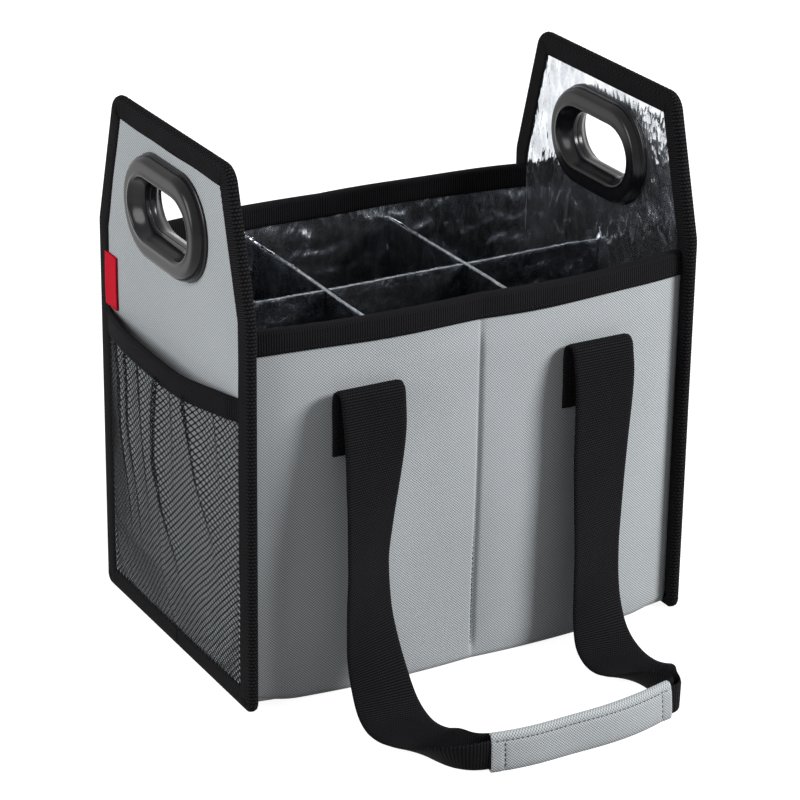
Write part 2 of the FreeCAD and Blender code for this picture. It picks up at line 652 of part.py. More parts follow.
def strap_wire(place, along, across, opening, flipped):
    """Section of the webbing: two halves hinged at a narrow fold, eight corners."""
    fold, half = size("strap_fold"), size("strap_width") / 2
    thick = size("strap") / 2
    down = across.cross(along)
    lift = math.radians(OPEN - opening) / 2
    turn = math.tan(lift / 2) * thick
    arm = half - fold
    signs = (1, -1) if flipped else (-1, 1)
    loop = []
    for skin in (1, -1):
        row = []
        for sign in signs:
            reach = across * (math.cos(lift) * sign) - down * math.sin(lift)
            off = across * (math.sin(lift) * sign) + down * math.cos(lift)
            hinge = place + across * (sign * (fold + skin * turn)) + down * (skin * thick)
            tip = place + across * (sign * fold) + reach * arm + off * (skin * thick)
            row.append((tip, hinge))
        face = [row[0][0], row[0][1], row[1][1], row[1][0]]
        loop += face if skin == 1 else face[::-1]
    return Part.makePolygon(loop + [loop[0]])


def make_straps():
    wires = [strap_wire(*frame) for frame in strap_frames()]
    webbing = Part.makeLoft(wires, True, True)
    front = doc.addObject("Part::Feature", "strap_front_webbing")
    front.Shape = webbing
    keep(front, "strap_front")
    back = doc.addObject("Part::Feature", "strap_back_webbing")
    back.Shape = webbing.mirror(Vector(0, 0, 0), Vector(0, 1, 0))
    keep(back, "strap_back")


def make_wrap():
    """Cloth sleeve round the folded middle of the front strap."""
    route, points, left_count, wrap_count = strap_stations()
    fold, thick, skin = size("strap_fold"), size("strap") / 2, size("wrap")
    tall = size("strap_width") / 2 - fold
    outer, inner = [], []
    for place, along, across, opening, flipped in strap_frames(left_count, left_count + wrap_count - 1):
        up = Vector(0, 0, 1)
        for wires, grow in ((outer, skin), (inner, 0)):
            side = across * (fold + thick + grow)
            low = place - up * (thick + grow)
            high = place + up * (tall + grow)
            wires.append(Part.makePolygon([low - side, low + side, high + side, high - side, low - side]))
    sleeve = doc.addObject("Part::Feature", "grip_wrap_sleeve")
    sleeve.Shape = Part.makeLoft(outer, True, True).cut(Part.makeLoft(inner, True, True))
    keep(sleeve, "grip_wrap")


make_shell()
make_base_board()
make_foam()
make_lining()
make_rim_bindings()
make_ends()
make_grips()
make_dividers()
make_pocket()
make_tab()
make_straps()
make_wrap()
doc.recompute()

for item in doc.Objects:
    if "Invalid" in item.State or "Error" in item.State:
        raise RuntimeError("%s failed: %s" % (item.Label, item.State))
for piece in PIECES:
    if piece.Shape.isNull() or not piece.Shape.isValid():
        raise RuntimeError("%s has no valid shape" % piece.Label)

os.makedirs("parts", exist_ok=True)
for piece in PIECES:
    piece.Shape.exportStep("parts/%s.step" % piece.Label)
    corners = piece.Shape.BoundBox
    print("%-22s solids %d  volume %9.0f  x %7.1f %7.1f  y %7.1f %7.1f  z %6.1f %6.1f" % (
        piece.Label, len(piece.Shape.Solids), piece.Shape.Volume,
        corners.XMin, corners.XMax, corners.YMin, corners.YMax, corners.ZMin, corners.ZMax))
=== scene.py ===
import math
import bpy
import bmesh
import numpy as np
from mathutils import Matrix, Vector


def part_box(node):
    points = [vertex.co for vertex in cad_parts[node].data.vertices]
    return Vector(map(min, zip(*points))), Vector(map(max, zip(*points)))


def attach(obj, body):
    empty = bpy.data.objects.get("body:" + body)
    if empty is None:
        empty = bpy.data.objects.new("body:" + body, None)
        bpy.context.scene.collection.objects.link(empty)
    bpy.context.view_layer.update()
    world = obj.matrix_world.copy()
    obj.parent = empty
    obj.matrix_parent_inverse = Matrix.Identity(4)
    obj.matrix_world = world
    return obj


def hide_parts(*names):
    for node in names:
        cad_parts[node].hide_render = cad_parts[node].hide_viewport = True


# Soft carrier bag with six cells. Values in the dictionaries are millimetres and degrees;
# X runs along the bag, Y from the front wall to the back wall and Z up.

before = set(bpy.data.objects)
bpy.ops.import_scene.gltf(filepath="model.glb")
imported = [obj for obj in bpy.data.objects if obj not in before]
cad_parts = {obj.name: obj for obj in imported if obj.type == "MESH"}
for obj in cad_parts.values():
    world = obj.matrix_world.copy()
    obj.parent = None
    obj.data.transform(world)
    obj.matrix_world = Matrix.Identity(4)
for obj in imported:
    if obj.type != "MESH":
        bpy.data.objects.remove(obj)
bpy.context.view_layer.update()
mm = 0.001
print("stage: frame loaded,", len(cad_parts), "nodes")


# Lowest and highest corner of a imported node, in millimetres
def nodeBox(name):
    low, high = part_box(name)
    return np.array(low) / mm, np.array(high) / mm


bag = dict(
    innerX=nodeBox("end_lining_right")[0][0],  # inner face of an end
    coverX=nodeBox("end_panel_right")[1][0],  # outer cloth of an end
    tapeX=nodeBox("end_binding_right")[1][0],  # outer face of its binding
    endHalf=nodeBox("end_binding_left")[1][1],  # half width of an end
    endTop=nodeBox("end_binding_left")[1][2],
    rimTop=nodeBox("rim_binding_front")[1][2],
    clothTop=nodeBox("rim_binding_front")[1][2] - 5.0,  # cloth and foil end inside the fold of the rim tape
    gripLevel=0.5 * (nodeBox("grip_outer_left")[0][2] + nodeBox("grip_outer_left")[1][2]),
    dividerTop=nodeBox("divider_long")[1][2],
    floorTop=nodeBox("divider_long")[0][2],
    pocketTop=nodeBox("pocket_band")[1][2],
    bandFoot=nodeBox("pocket_band")[0][2],
    cloth=1.2,
    foam=4.0,
    lining=0.6,
    tape=0.8,
)

wall = dict(endDepth=85.0, crestDepth=93.0, creaseDepth=92.3, bottomRound=4.8)


# Shape helpers, all on whole arrays

# Smooth ramp from 0 at low to 1 at high, by 3 s^2 - 2 s^3; it also runs down where high is below low
def ramp(low, high, value):
    share = np.clip((value - low) / (high - low), 0.0, 1.0)
    return share * share * (3 - 2 * share)


# Slow waves: a sum of sines with seeded directions, lengths and phases, about -1 to 1
def slowWaves(seed, across, up, length, count=6):
    rng = np.random.default_rng(seed)
    total = np.zeros(np.broadcast(across, up).shape)
    for turn, stretch, phase in rng.uniform((0, 0.7, 0), (math.pi, 1.6, 1), (count, 3)):
        travel = (across * math.cos(turn) + up * math.sin(turn)) / (length * stretch) + phase
        total += np.sin(2 * math.pi * travel)
    return total / math.sqrt(count)


# Crumpled film: triangle waves in seeded directions, bent by slow waves, so that flat facets meet at kinks
def crumple(seed, across, up, length, count=9):
    rng = np.random.default_rng(seed)
    bentAcross = across + 0.35 * length * slowWaves(seed + 1, across, up, 2.5 * length)
    bentUp = up + 0.35 * length * slowWaves(seed + 2, across, up, 2.5 * length)
    total = np.zeros(np.broadcast(across, up).shape)
    for turn, stretch, phase in rng.uniform((0, 0.5, 0), (math.pi, 1.5, 1), (count, 3)):
        travel = (bentAcross * math.cos(turn) + bentUp * math.sin(turn)) / (length * stretch) + phase
        total += (np.abs(2 * (travel - np.floor(travel)) - 1) - 0.5) * stretch
    return total / math.sqrt(count)


# Natural cubic spline through the rows of a table at the given marks, read at other marks: the bends at the
# marks solve one linear system, and each stretch is its straight line plus a cubic of the bends at its ends
def spline(marks, rows, at):
    rows = np.asarray(rows, float)
    count = len(marks)
    gaps = np.diff(marks)
    left = np.eye(count)
    right = np.zeros_like(rows)
    inner = np.arange(1, count - 1)
    left[inner, inner - 1] = gaps[:-1]
    left[inner, inner] = 2 * (gaps[:-1] + gaps[1:])
    left[inner, inner + 1] = gaps[1:]
    slopes = np.diff(rows, axis=0) / gaps[:, None]
    right[inner] = 6 * np.diff(slopes, axis=0)
    bend = np.linalg.solve(left, right)
    i = np.clip(np.searchsorted(marks, at, "right") - 1, 0, count - 2)
    h = gaps[i][:, None]
    a = ((marks[i + 1] - at)[:, None]) / h
    b = ((at - marks[i])[:, None]) / h
    cubic = ((a ** 3 - a) * bend[i] + (b ** 3 - b) * bend[i + 1]) * h * h / 6
    return a * rows[i] + b * rows[i + 1] + cubic


# Length travelled along a line of points; a closed one comes back to its start
def travelled(points, closed=False):
    line = np.vstack([points, points[:1]]) if closed else points
    steps = np.linalg.norm(np.diff(line, axis=0), axis=1)
    return np.concatenate([[0.0], np.cumsum(steps)])


# The same line in even steps
def evenly(points, count, closed=False):
    line = np.vstack([points, points[:1]]) if closed else points
    along = travelled(line)
    at = np.linspace(0, along[-1], count, endpoint=not closed)
    return np.stack([np.interp(at, along, line[:, k]) for k in range(line.shape[1])], -1)


# Vectors divided by their lengths
def unit(vectors):
    return vectors / np.maximum(np.linalg.norm(vectors, axis=-1, keepdims=True), 1e-12)


# One direction, given to every point of a line
def everywhere(direction, line):
    return np.broadcast_to(np.array(direction, float), line.shape)


# Direction of a line at each of its points: from the point before to the point after
def headings(points, closed=False):
    if closed:
        return unit(np.roll(points, -1, 0) - np.roll(points, 1, 0))
    return unit(np.gradient(points, axis=0))


# Outline with round corners: each corner is replaced by an arc tangent to both of its sides
def roundOutline(corners, radii, count, arcSteps=16):
    corners = np.asarray(corners, float)
    parts = []
    for before, here, after, radius in zip(np.roll(corners, 1, 0), corners, np.roll(corners, -1, 0), radii):
        toBefore, toAfter = unit(before - here), unit(after - here)
        halfAngle = math.acos(np.clip(toBefore @ toAfter, -1, 1)) / 2
        back = radius / math.tan(halfAngle)
        middle = here + unit(toBefore + toAfter) * math.hypot(radius, back)
        first, last = here + toBefore * back - middle, here + toAfter * back - middle
        share = np.linspace(0, 1, arcSteps)[:, None]
        parts.append(middle + unit(first * (1 - share) + last * share) * radius)
    return evenly(np.vstack(parts), count, closed=True)


# Long hole with round ends, counter-clockwise, about a level
def stadium(length, height, level, count):
    reach, radius = (length - height) / 2, height / 2
    turn = np.linspace(-math.pi / 2, math.pi / 2, 41)
    right = np.stack([reach + radius * np.cos(turn), level + radius * np.sin(turn)], -1)
    left = np.stack([-reach - radius * np.cos(turn), level - radius * np.sin(turn)], -1)
    return evenly(np.vstack([right, left]), count, closed=True)


# Mesh helpers

# Quads of a grid of rows by cols points; a closed direction joins its last line to its first.
# The second array numbers the same corners on the opened-out grid, for the UV map.
def gridQuads(rows, cols, closeRows=False, closeCols=False):
    r, c = np.meshgrid(np.arange(rows - (not closeRows)), np.arange(cols - (not closeCols)), indexing="ij")
    corners = ((r, c), (r, c + 1), (r + 1, c + 1), (r + 1, c))
    wide = cols + closeCols
    faces = np.stack([(a % rows) * cols + b % cols for a, b in corners], -1).reshape(-1, 4)
    marks = np.stack([a * wide + b for a, b in corners], -1).reshape(-1, 4)
    return faces, marks


# A new object in the scene
def link(name, data):
    thing = bpy.data.objects.new(name, data)
    bpy.context.scene.collection.objects.link(thing)
    return thing


# A piece in the scene from points in millimetres, faces and a UV map in millimetres of cloth
def addPiece(name, points, faces, material, nodes=(), uv=None, marks=None, closed=False):
    mesh = bpy.data.meshes.new(name)
    corners = (np.asarray(points).reshape(-1, 3) * mm).tolist()
    mesh.from_pydata(corners, [], [list(map(int, f)) for f in faces])
    if uv is not None:
        flat = np.asarray(uv, float).reshape(-1, 2) * mm
        order = np.concatenate([np.asarray(f).ravel() for f in (faces if marks is None else marks)])
        mesh.uv_layers.new(name="clothMap").data.foreach_set("uv", flat[order].ravel())
    mesh.polygons.foreach_set("use_smooth", np.full(len(mesh.polygons), True))
    mesh.update()
    if closed:
        shell = bmesh.new()
        shell.from_mesh(mesh)
        bmesh.ops.recalc_face_normals(shell, faces=shell.faces)
        shell.to_mesh(mesh)
        shell.free()
    mesh.materials.append(material)
    piece = link(name, mesh)
    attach(piece, "root")
    if nodes:
        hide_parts(*nodes)
    return piece


# A grid of points as a piece; flip turns its faces over, and closed turns them outwards
def addGrid(name, points, material, nodes, uv=None, closeRows=False, closeCols=False, capEnds=False,
            flip=False, closed=False):
    rows, cols = points.shape[:2]
    faces, marks = gridQuads(rows, cols, closeRows, closeCols)
    faces, marks = list(faces), list(marks)
    if capEnds:
        wide = cols + closeCols
        faces += [np.arange(cols)[::-1], (rows - 1) * cols + np.arange(cols)]
        marks += [np.arange(cols)[::-1], (rows - 1) * wide + np.arange(cols)]
    if flip:
        faces, marks = [f[::-1] for f in faces], [f[::-1] for f in marks]
    return addPiece(name, points, faces, material, nodes, uv, marks, closed)


# Gives a sheet its thickness: offset -1 puts it behind the faces and 0 on both sides of them
def thicken(piece, thickness, offset=-1.0):
    solid = piece.modifiers.new("thickness", "SOLIDIFY")
    solid.thickness = thickness * mm
    solid.offset = offset
    solid.use_even_offset = True


# Rounds the edges where two faces meet at more than the angle
def roundEdges(piece, width, angle):
    bevel = piece.modifiers.new("edges", "BEVEL")
    bevel.width = width * mm
    bevel.segments = 2
    bevel.limit_method = "ANGLE"
    bevel.angle_limit = math.radians(angle)


# A section carried along a path: each station's place plus its side and lift directions times the section
def carried(places, sideways, lift, section):
    section = np.asarray(section)
    if section.ndim == 2:
        section = section[None]
    return places[:, None] + sideways[:, None] * section[..., :1] + lift[:, None] * section[..., 1:]


# UV grid from the length along the rows and across the columns
def spreadUv(along, across):
    return np.stack(np.meshgrid(along, across, indexing="ij"), -1)


# One stitch is a low six-sided capsule of four rings, bent down at its ends; a row of them follows a line,
# one to each pitch, and lies on the surface whose outward direction is up
def addStitches(name, line, up, seam, closed=False):
    count = max(2, int(travelled(line, closed)[-1] / seam["pitch"]))
    spots = evenly(np.hstack([line, up]), count * 2 + 1)
    place, lift = spots[1::2, :3], unit(spots[1::2, 3:])
    along = unit(spots[2::2, :3] - spots[:-1:2, :3])
    side = unit(np.cross(lift, along))
    turn = np.arange(6) * math.pi / 3
    rings = np.array([(-0.5, 0.35), (-0.3, 1.0), (0.3, 1.0), (0.5, 0.35)])
    travel, width = rings[:, 0] * seam["length"], rings[:, 1] * seam["radius"]
    arch = 0.1 - seam["radius"] * 0.9 * (rings[:, 0] * 2) ** 2
    a = width[:, None] * np.cos(turn)
    b = width[:, None] * np.sin(turn) + arch[:, None]
    points = (place[:, None, None] + along[:, None, None] * travel[None, :, None, None]
              + side[:, None, None] * a[None, ..., None] + lift[:, None, None] * b[None, ..., None])
    quads, _ = gridQuads(4, 6, closeCols=True)
    caps = np.array([(0, 3, 2, 1), (0, 5, 4, 3), (18, 19, 20, 21), (18, 21, 22, 23)])
    shape = np.vstack([quads, caps])
    faces = (shape[None] + (np.arange(len(place)) * 24)[:, None, None]).reshape(-1, 4)
    addPiece(name, points, faces, seam["thread"], closed=True)


# Materials

# A node group with named sockets; fill builds its inside
def newGroup(name, inputs, outputs):
    group = bpy.data.node_groups.new(name, "ShaderNodeTree")
    for label, start in inputs.items():
        kind = "NodeSocketVector" if start is None else "NodeSocketFloat"
        socket = group.interface.new_socket(name=label, in_out="INPUT", socket_type=kind)
        if start is not None:
            socket.default_value = start
    for label in outputs:
        group.interface.new_socket(name=label, in_out="OUTPUT", socket_type="NodeSocketFloat")
    return group, group.nodes.new("NodeGroupInput").outputs, group.nodes.new("NodeGroupOutput").inputs


# Puts a value on a socket, or links another socket to it
def feed(tree, socket, source):
    if isinstance(source, bpy.types.NodeSocket):
        tree.links.new(source, socket)
    else:
        socket.default_value = source


# One Math node on the given sockets or numbers
def calc(tree, operation, *sources):
    node = tree.nodes.new("ShaderNodeMath")
    node.operation = operation
    for socket, source in zip(node.inputs, sources):
        feed(tree, socket, source)
    return node.outputs[0]


# Cloudy noise; more detail adds finer clouds
def noise(tree, vector, scale, detail=3.0, output="Fac"):
    node = tree.nodes.new("ShaderNodeTexNoise")
    feed(tree, node.inputs["Vector"], vector)
    feed(tree, node.inputs["Scale"], scale)
    node.inputs["Detail"].default_value = detail
    return node.outputs[output]


# One Vector Math node: a vector times three numbers, plus a second vector
def stretched(tree, vector, numbers, plus=(0, 0, 0)):
    node = tree.nodes.new("ShaderNodeVectorMath")
    node.operation = "MULTIPLY_ADD"
    for socket, source in zip(node.inputs, (vector, numbers, plus)):
        feed(tree, socket, source)
    return node.outputs[0]


# X, Y and Z of a vector as sockets
def split(tree, vector):
    node = tree.nodes.new("ShaderNodeSeparateXYZ")
    tree.links.new(vector, node.inputs[0])
    return node.outputs


# Sine that crosses zero once in every pitch of a length
def sineWave(tree, length, pitch):
    return calc(tree, "SINE", calc(tree, "DIVIDE", calc(tree, "MULTIPLY", length, math.pi), pitch))


# Plain weave: the thread on top is the product of the warp's and the weft's sines, which changes sign from
# cell to cell, and the height adds the gaps between the threads, where either sine is zero
def makeWeave():
    group, given, out = newGroup("plainWeave", {"Vector": None, "Warp Pitch": 0.001, "Weft Pitch": 0.001},
                                 ("Height", "Thread Tone And Groove Shade"))
    place = split(group, given["Vector"])
    both = calc(group, "MULTIPLY", sineWave(group, place[0], given["Warp Pitch"]),
                sineWave(group, place[1], given["Weft Pitch"]))
    thread = calc(group, "MULTIPLY_ADD", both, 0.5, 0.5)
    gaps = calc(group, "MULTIPLY", calc(group, "ABSOLUTE", both), 0.3)
    group.links.new(thread, out["Thread Tone And Groove Shade"])
    group.links.new(calc(group, "MULTIPLY_ADD", thread, 0.7, gaps), out["Height"])
    return group


# Ribs across a tape, each broken into short floats by the threads that run along it: the height is the rib's
# sine times a share of the float's, and the floats of each rib are half a float from those of the rib before.
# The tone is the height to the power 1.5, darker in the grooves between ribs and floats: painted shade.
def makeRibs():
    group, given, out = newGroup("tapeRibs", {"Vector": None, "Rib Pitch": 0.0015, "Float Pitch": 0.0012},
                                 ("Height", "Thread Tone And Groove Shade"))
    place = split(group, given["Vector"])
    ribCount = calc(group, "DIVIDE", place[0], given["Rib Pitch"])
    rib = calc(group, "ABSOLUTE", calc(group, "SINE", calc(group, "MULTIPLY", ribCount, math.pi)))
    stagger = calc(group, "MULTIPLY", calc(group, "FLOOR", ribCount), 0.5)
    floatCount = calc(group, "ADD", calc(group, "DIVIDE", place[1], given["Float Pitch"]), stagger)
    floats = calc(group, "ABSOLUTE", calc(group, "SINE", calc(group, "MULTIPLY", floatCount, math.pi)))
    height = calc(group, "MULTIPLY", rib, calc(group, "MULTIPLY_ADD", floats, 0.6, 0.4))
    group.links.new(height, out["Height"])
    # painted shade: tone from the rib height, darker in the grooves
    group.links.new(calc(group, "POWER", height, 1.5), out["Thread Tone And Groove Shade"])
    return group


# Slow change of tone over a surface, with a share of fine grain, centred on one half
def makeMottle():
    group, given, out = newGroup("toneMottle", {"Vector": None, "Patch Scale": 30.0, "Grain Scale": 900.0,
                                                "Grain Share": 0.3}, ("Tone",))
    patch = noise(group, given["Vector"], given["Patch Scale"])
    grain = noise(group, given["Vector"], given["Grain Scale"], 1.0)
    share = given["Grain Share"]
    kept = calc(group, "MULTIPLY", patch, calc(group, "SUBTRACT", 1.0, share))
    group.links.new(calc(group, "ADD", kept, calc(group, "MULTIPLY", grain, share)), out["Tone"])
    return group


# Fine wrinkles of a metallised film: kinks between cells of two sizes, softened by noise. The kink glint is
# lighter along the kinks of the larger cells: a painted glint.
def makeWrinkles():
    group, given, out = newGroup("filmWrinkles", {"Vector": None, "Wrinkle Scale": 120.0}, ("Height", "Kink Glint"))
    bend = noise(group, given["Vector"], 60.0, 2.0, "Color")
    shifted = stretched(group, bend, (0.006, 0.006, 0.006), given["Vector"])
    heights = []
    for factor in (1.0, 2.7):
        cells = group.nodes.new("ShaderNodeTexVoronoi")
        cells.feature = "F1"
        group.links.new(shifted, cells.inputs["Vector"])
        group.links.new(calc(group, "MULTIPLY", given["Wrinkle Scale"], factor), cells.inputs["Scale"])
        heights.append(calc(group, "DIVIDE", cells.outputs["Distance"], factor))
    group.links.new(calc(group, "ADD", *heights), out["Height"])
    # painted glint: lighter where the larger cells meet
    group.links.new(calc(group, "POWER", heights[0], 3.0), out["Kink Glint"])
    return group


groups = dict(weave=makeWeave(), ribs=makeRibs(), mottle=makeMottle(), wrinkles=makeWrinkles())


# A material with one Principled shader; fixed values go on the shader's own sockets
def newMaterial(name, **values):
    material = bpy.data.materials.new(name)
    material.use_nodes = True
    tree = material.node_tree
    shader = tree.nodes["Principled BSDF"]
    for label, value in values.items():
        shader.inputs[label.replace("_", " ")].default_value = value
    return material, tree, shader


# A group in a material, with its vector and its values
def placeGroup(tree, key, vector, **values):
    node = tree.nodes.new("ShaderNodeGroup")
    node.node_tree = groups[key]
    tree.links.new(vector, node.inputs["Vector"])
    for label, value in values.items():
        feed(tree, node.inputs[label.replace("_", " ")], value)
    return node.outputs


# The surface's own coordinates: UV in the cloth, or Object in the scene
def coordinates(tree, kind):
    return tree.nodes.new("ShaderNodeTexCoord").outputs[kind]


# Base colour between a dark and a light value
def tint(tree, shader, factor, dark, light):
    mix = tree.nodes.new("ShaderNodeMix")
    mix.data_type = "RGBA"
    feed(tree, mix.inputs["Factor"], factor)
    mix.inputs["A"].default_value = (*dark, 1)
    mix.inputs["B"].default_value = (*light, 1)
    tree.links.new(mix.outputs["Result"], shader.inputs["Base Color"])


# Bump of a height
def relief(tree, shader, height, strength, depth):
    bump = tree.nodes.new("ShaderNodeBump")
    bump.inputs["Strength"].default_value = strength
    bump.inputs["Distance"].default_value = depth * mm
    tree.links.new(height, bump.inputs["Height"])
    tree.links.new(bump.outputs[0], shader.inputs["Normal"])


# Woven cloth: weave and slow mottle in the tone, weave in the relief
def wovenMaterial(name, values):
    material, tree, shader = newMaterial(name, Roughness=values["roughness"],
                                         Specular_IOR_Level=values["specular"])
    weave = placeGroup(tree, "weave", coordinates(tree, "UV"), Warp_Pitch=values["warp"] * mm,
                       Weft_Pitch=values["weft"] * mm)
    mottle = placeGroup(tree, "mottle", coordinates(tree, "Object"), Patch_Scale=values["patch"],
                        Grain_Scale=700.0, Grain_Share=0.3)
    woven = calc(tree, "MULTIPLY_ADD", calc(tree, "SUBTRACT", weave["Thread Tone And Groove Shade"], 0.5), values["contrast"], 0.5)
    tone = calc(tree, "MULTIPLY_ADD", calc(tree, "SUBTRACT", mottle["Tone"], 0.5), values["mottle"], woven)
    tint(tree, shader, tone, values["dark"], values["light"])
    relief(tree, shader, weave["Height"], values["relief"], values["depth"])
    return material


# Ribbed tape or webbing: ribs in the relief, and a tone darker in the grooves between them, painted shade.
# Where edgeRib is given, the ribs and floats have that pitch in a band of the tape's width, within edgeHalf
# of edgeAt, which lies over the folded edge.
def ribbedMaterial(name, values):
    material, tree, shader = newMaterial(name, Roughness=values["roughness"],
                                         Specular_IOR_Level=values["specular"])
    uv = coordinates(tree, "UV")
    pitches = [values["rib"] * mm, values["float"] * mm]
    if "edgeRib" in values:
        inside = calc(tree, "COMPARE", split(tree, uv)[1], values["edgeAt"] * mm, values["edgeHalf"] * mm)
        wide = values["edgeRib"] * mm
        pitches = [calc(tree, "MULTIPLY_ADD", inside, wide - fine, fine) for fine in pitches]
    ribs = placeGroup(tree, "ribs", uv, Rib_Pitch=pitches[0], Float_Pitch=pitches[1])
    mottle = placeGroup(tree, "mottle", coordinates(tree, "Object"), Patch_Scale=60.0, Grain_Scale=1200.0,
                        Grain_Share=0.5)
    # painted shade: base colour darker in the grooves between ribs, times a random mottle
    tone = calc(tree, "MULTIPLY", ribs["Thread Tone And Groove Shade"], calc(tree, "MULTIPLY_ADD", mottle["Tone"], 0.8, 0.6))
    tint(tree, shader, tone, values["dark"], values["light"])
    relief(tree, shader, ribs["Height"], values["relief"], values["depth"])
    return material


# Metallised film over a soft backing: wrinkles drawn out upwards, and kinks painted lighter in the base
# colour as painted glints
def filmMaterial(name, values):
    material, tree, shader = newMaterial(name, Metallic=values["metallic"])
    place = coordinates(tree, "Object")
    drawn = stretched(tree, place, (1, 1, values["upright"]))
    wrinkles = placeGroup(tree, "wrinkles", drawn, Wrinkle_Scale=values["scale"])
    mottle = placeGroup(tree, "mottle", place, Patch_Scale=40.0, Grain_Scale=500.0, Grain_Share=0.4)
    # painted glint: the kinks lighten the foil's base colour over the random mottle
    tint(tree, shader, calc(tree, "ADD", mottle["Tone"], wrinkles["Kink Glint"]), values["dark"], values["light"])
    rough = calc(tree, "MULTIPLY_ADD", mottle["Tone"], values["roughSpread"], values["roughness"])
    tree.links.new(rough, shader.inputs["Roughness"])
    relief(tree, shader, wrinkles["Height"], values["relief"], values["depth"])
    return material


# Moulded plastic: a fine moulding grain and faint handling marks in its gloss
def plasticMaterial(name, values):
    material, tree, shader = newMaterial(name, Specular_IOR_Level=values["specular"])
    mottle = placeGroup(tree, "mottle", coordinates(tree, "Object"), Patch_Scale=35.0, Grain_Scale=1500.0,
                        Grain_Share=0.35)
    tint(tree, shader, mottle["Tone"], values["dark"], values["light"])
    rough = calc(tree, "MULTIPLY_ADD", mottle["Tone"], values["roughSpread"], values["roughness"])
    tree.links.new(rough, shader.inputs["Roughness"])
    relief(tree, shader, mottle["Tone"], 0.25, 0.03)
    return material


cloths = dict(
    grey=dict(dark=(0.1, 0.107, 0.112), light=(0.56, 0.595, 0.615), contrast=1.0, mottle=0.2,
              roughness=0.75, specular=0.2, warp=0.86, weft=0.79, patch=14.0, relief=0.6, depth=0.18),
    red=dict(dark=(0.3, 0.0, 0.006), light=(0.62, 0.001, 0.022), contrast=0.6, mottle=0.3,
             roughness=0.6, specular=0.06, warp=0.5, weft=0.6, patch=80.0, relief=0.4, depth=0.08),
)
tapes = dict(
    binding=dict(dark=(0.0012, 0.0012, 0.0014), light=(0.019, 0.0185, 0.0205), rib=1.4, float=1.3,
                 roughness=0.8, specular=0.03, relief=0.9, depth=0.25),
    edging=dict(dark=(0.001, 0.001, 0.0012), light=(0.021, 0.0205, 0.0225), rib=1.25, float=1.2,
                roughness=0.8, specular=0.03, relief=1.0, depth=0.35, edgeRib=2.0, edgeAt=15.2, edgeHalf=5.4),
    webbing=dict(dark=(0.001, 0.001, 0.0012), light=(0.0155, 0.0155, 0.0175), rib=1.45, float=1.5,
                 roughness=0.75, specular=0.04, relief=1.0, depth=0.4),
    net=dict(dark=(0.002, 0.002, 0.0024), light=(0.014, 0.014, 0.016), rib=0.8, float=0.8,
             roughness=0.6, specular=0.06, relief=0.3, depth=0.08),
)
films = dict(
    lining=dict(dark=(0.32, 0.345, 0.375), light=(0.86, 0.89, 0.93), metallic=0.97, scale=170.0,
                upright=0.45, roughness=0.05, roughSpread=0.2, relief=0.8, depth=0.7),
    # divider foil: the lining's film made darker, painted shade of the dim cells
    divider=dict(dark=(0.08, 0.09, 0.102), light=(0.36, 0.385, 0.42), metallic=0.97, scale=190.0,
                 upright=0.7, roughness=0.05, roughSpread=0.18, relief=0.8, depth=0.6),
)
plastics = dict(
    grip=dict(dark=(0.0034, 0.0032, 0.0042), light=(0.007, 0.0066, 0.0082),
              roughness=0.17, roughSpread=0.12, specular=0.24),
    foam=dict(dark=(0.7, 0.7, 0.7), light=(0.85, 0.85, 0.85), roughness=0.7, roughSpread=0.2, specular=0.3),
    board=dict(dark=(0.4, 0.4, 0.39), light=(0.6, 0.59, 0.57), roughness=0.7, roughSpread=0.2, specular=0.3),
)
greyCloth = wovenMaterial("greyCloth", cloths["grey"])
redWoven = wovenMaterial("redWoven", cloths["red"])
blackTape = ribbedMaterial("blackTape", tapes["binding"])
blackEdging = ribbedMaterial("blackEdging", tapes["edging"])
blackWebbing = ribbedMaterial("blackWebbing", tapes["webbing"])
netThread = ribbedMaterial("netThread", tapes["net"])
foilFilm = filmMaterial("foilFilm", films["lining"])
# the dividers take the darker copy of the foil: painted shade
shadedDividerFilm = filmMaterial("shadedDividerFilm", films["divider"])
gripPlastic = plasticMaterial("gripPlastic", plastics["grip"])
whiteFoam = plasticMaterial("whiteFoam", plastics["foam"])
stiffBoard = plasticMaterial("stiffBoard", plastics["board"])


# Sewing thread: a fine grain in its tone and relief
def threadMaterial(name, dark, light):
    material, tree, shader = newMaterial(name, Roughness=0.7, Specular_IOR_Level=0.08)
    grain = noise(tree, coordinates(tree, "Object"), 2600.0, 1.0)
    tint(tree, shader, grain, dark, light)
    relief(tree, shader, grain, 0.4, 0.05)
    return material


# dark grey thread, darker than the grey cloth: painted shade along the sunk crease seam; the sleeve's
# stitches use it too
seamShadeThread = threadMaterial("seamShadeThread", (0.02, 0.021, 0.022), (0.07, 0.072, 0.075))
blackThread = threadMaterial("blackThread", (0.001, 0.001, 0.0013), (0.012, 0.012, 0.014))
seams = dict(
    tape=dict(pitch=3.0, length=2.3, radius=0.22, thread=blackThread),
    # crease stitches in the darkened thread: painted shade in the crease
    crease=dict(pitch=3.2, length=2.6, radius=0.4, thread=seamShadeThread),
    sleeve=dict(pitch=2.8, length=2.1, radius=0.24, thread=seamShadeThread),
)
print("stage: materials made")


# Carried-over nodes keep their shape and take a procedural material
def dressNodes():
    for name, material in (("foam", whiteFoam), ("board", stiffBoard)):
        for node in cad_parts:
            if name in node:
                piece = bpy.data.objects[node]
                piece.data.materials.clear()
                piece.data.materials.append(material)


# The long walls

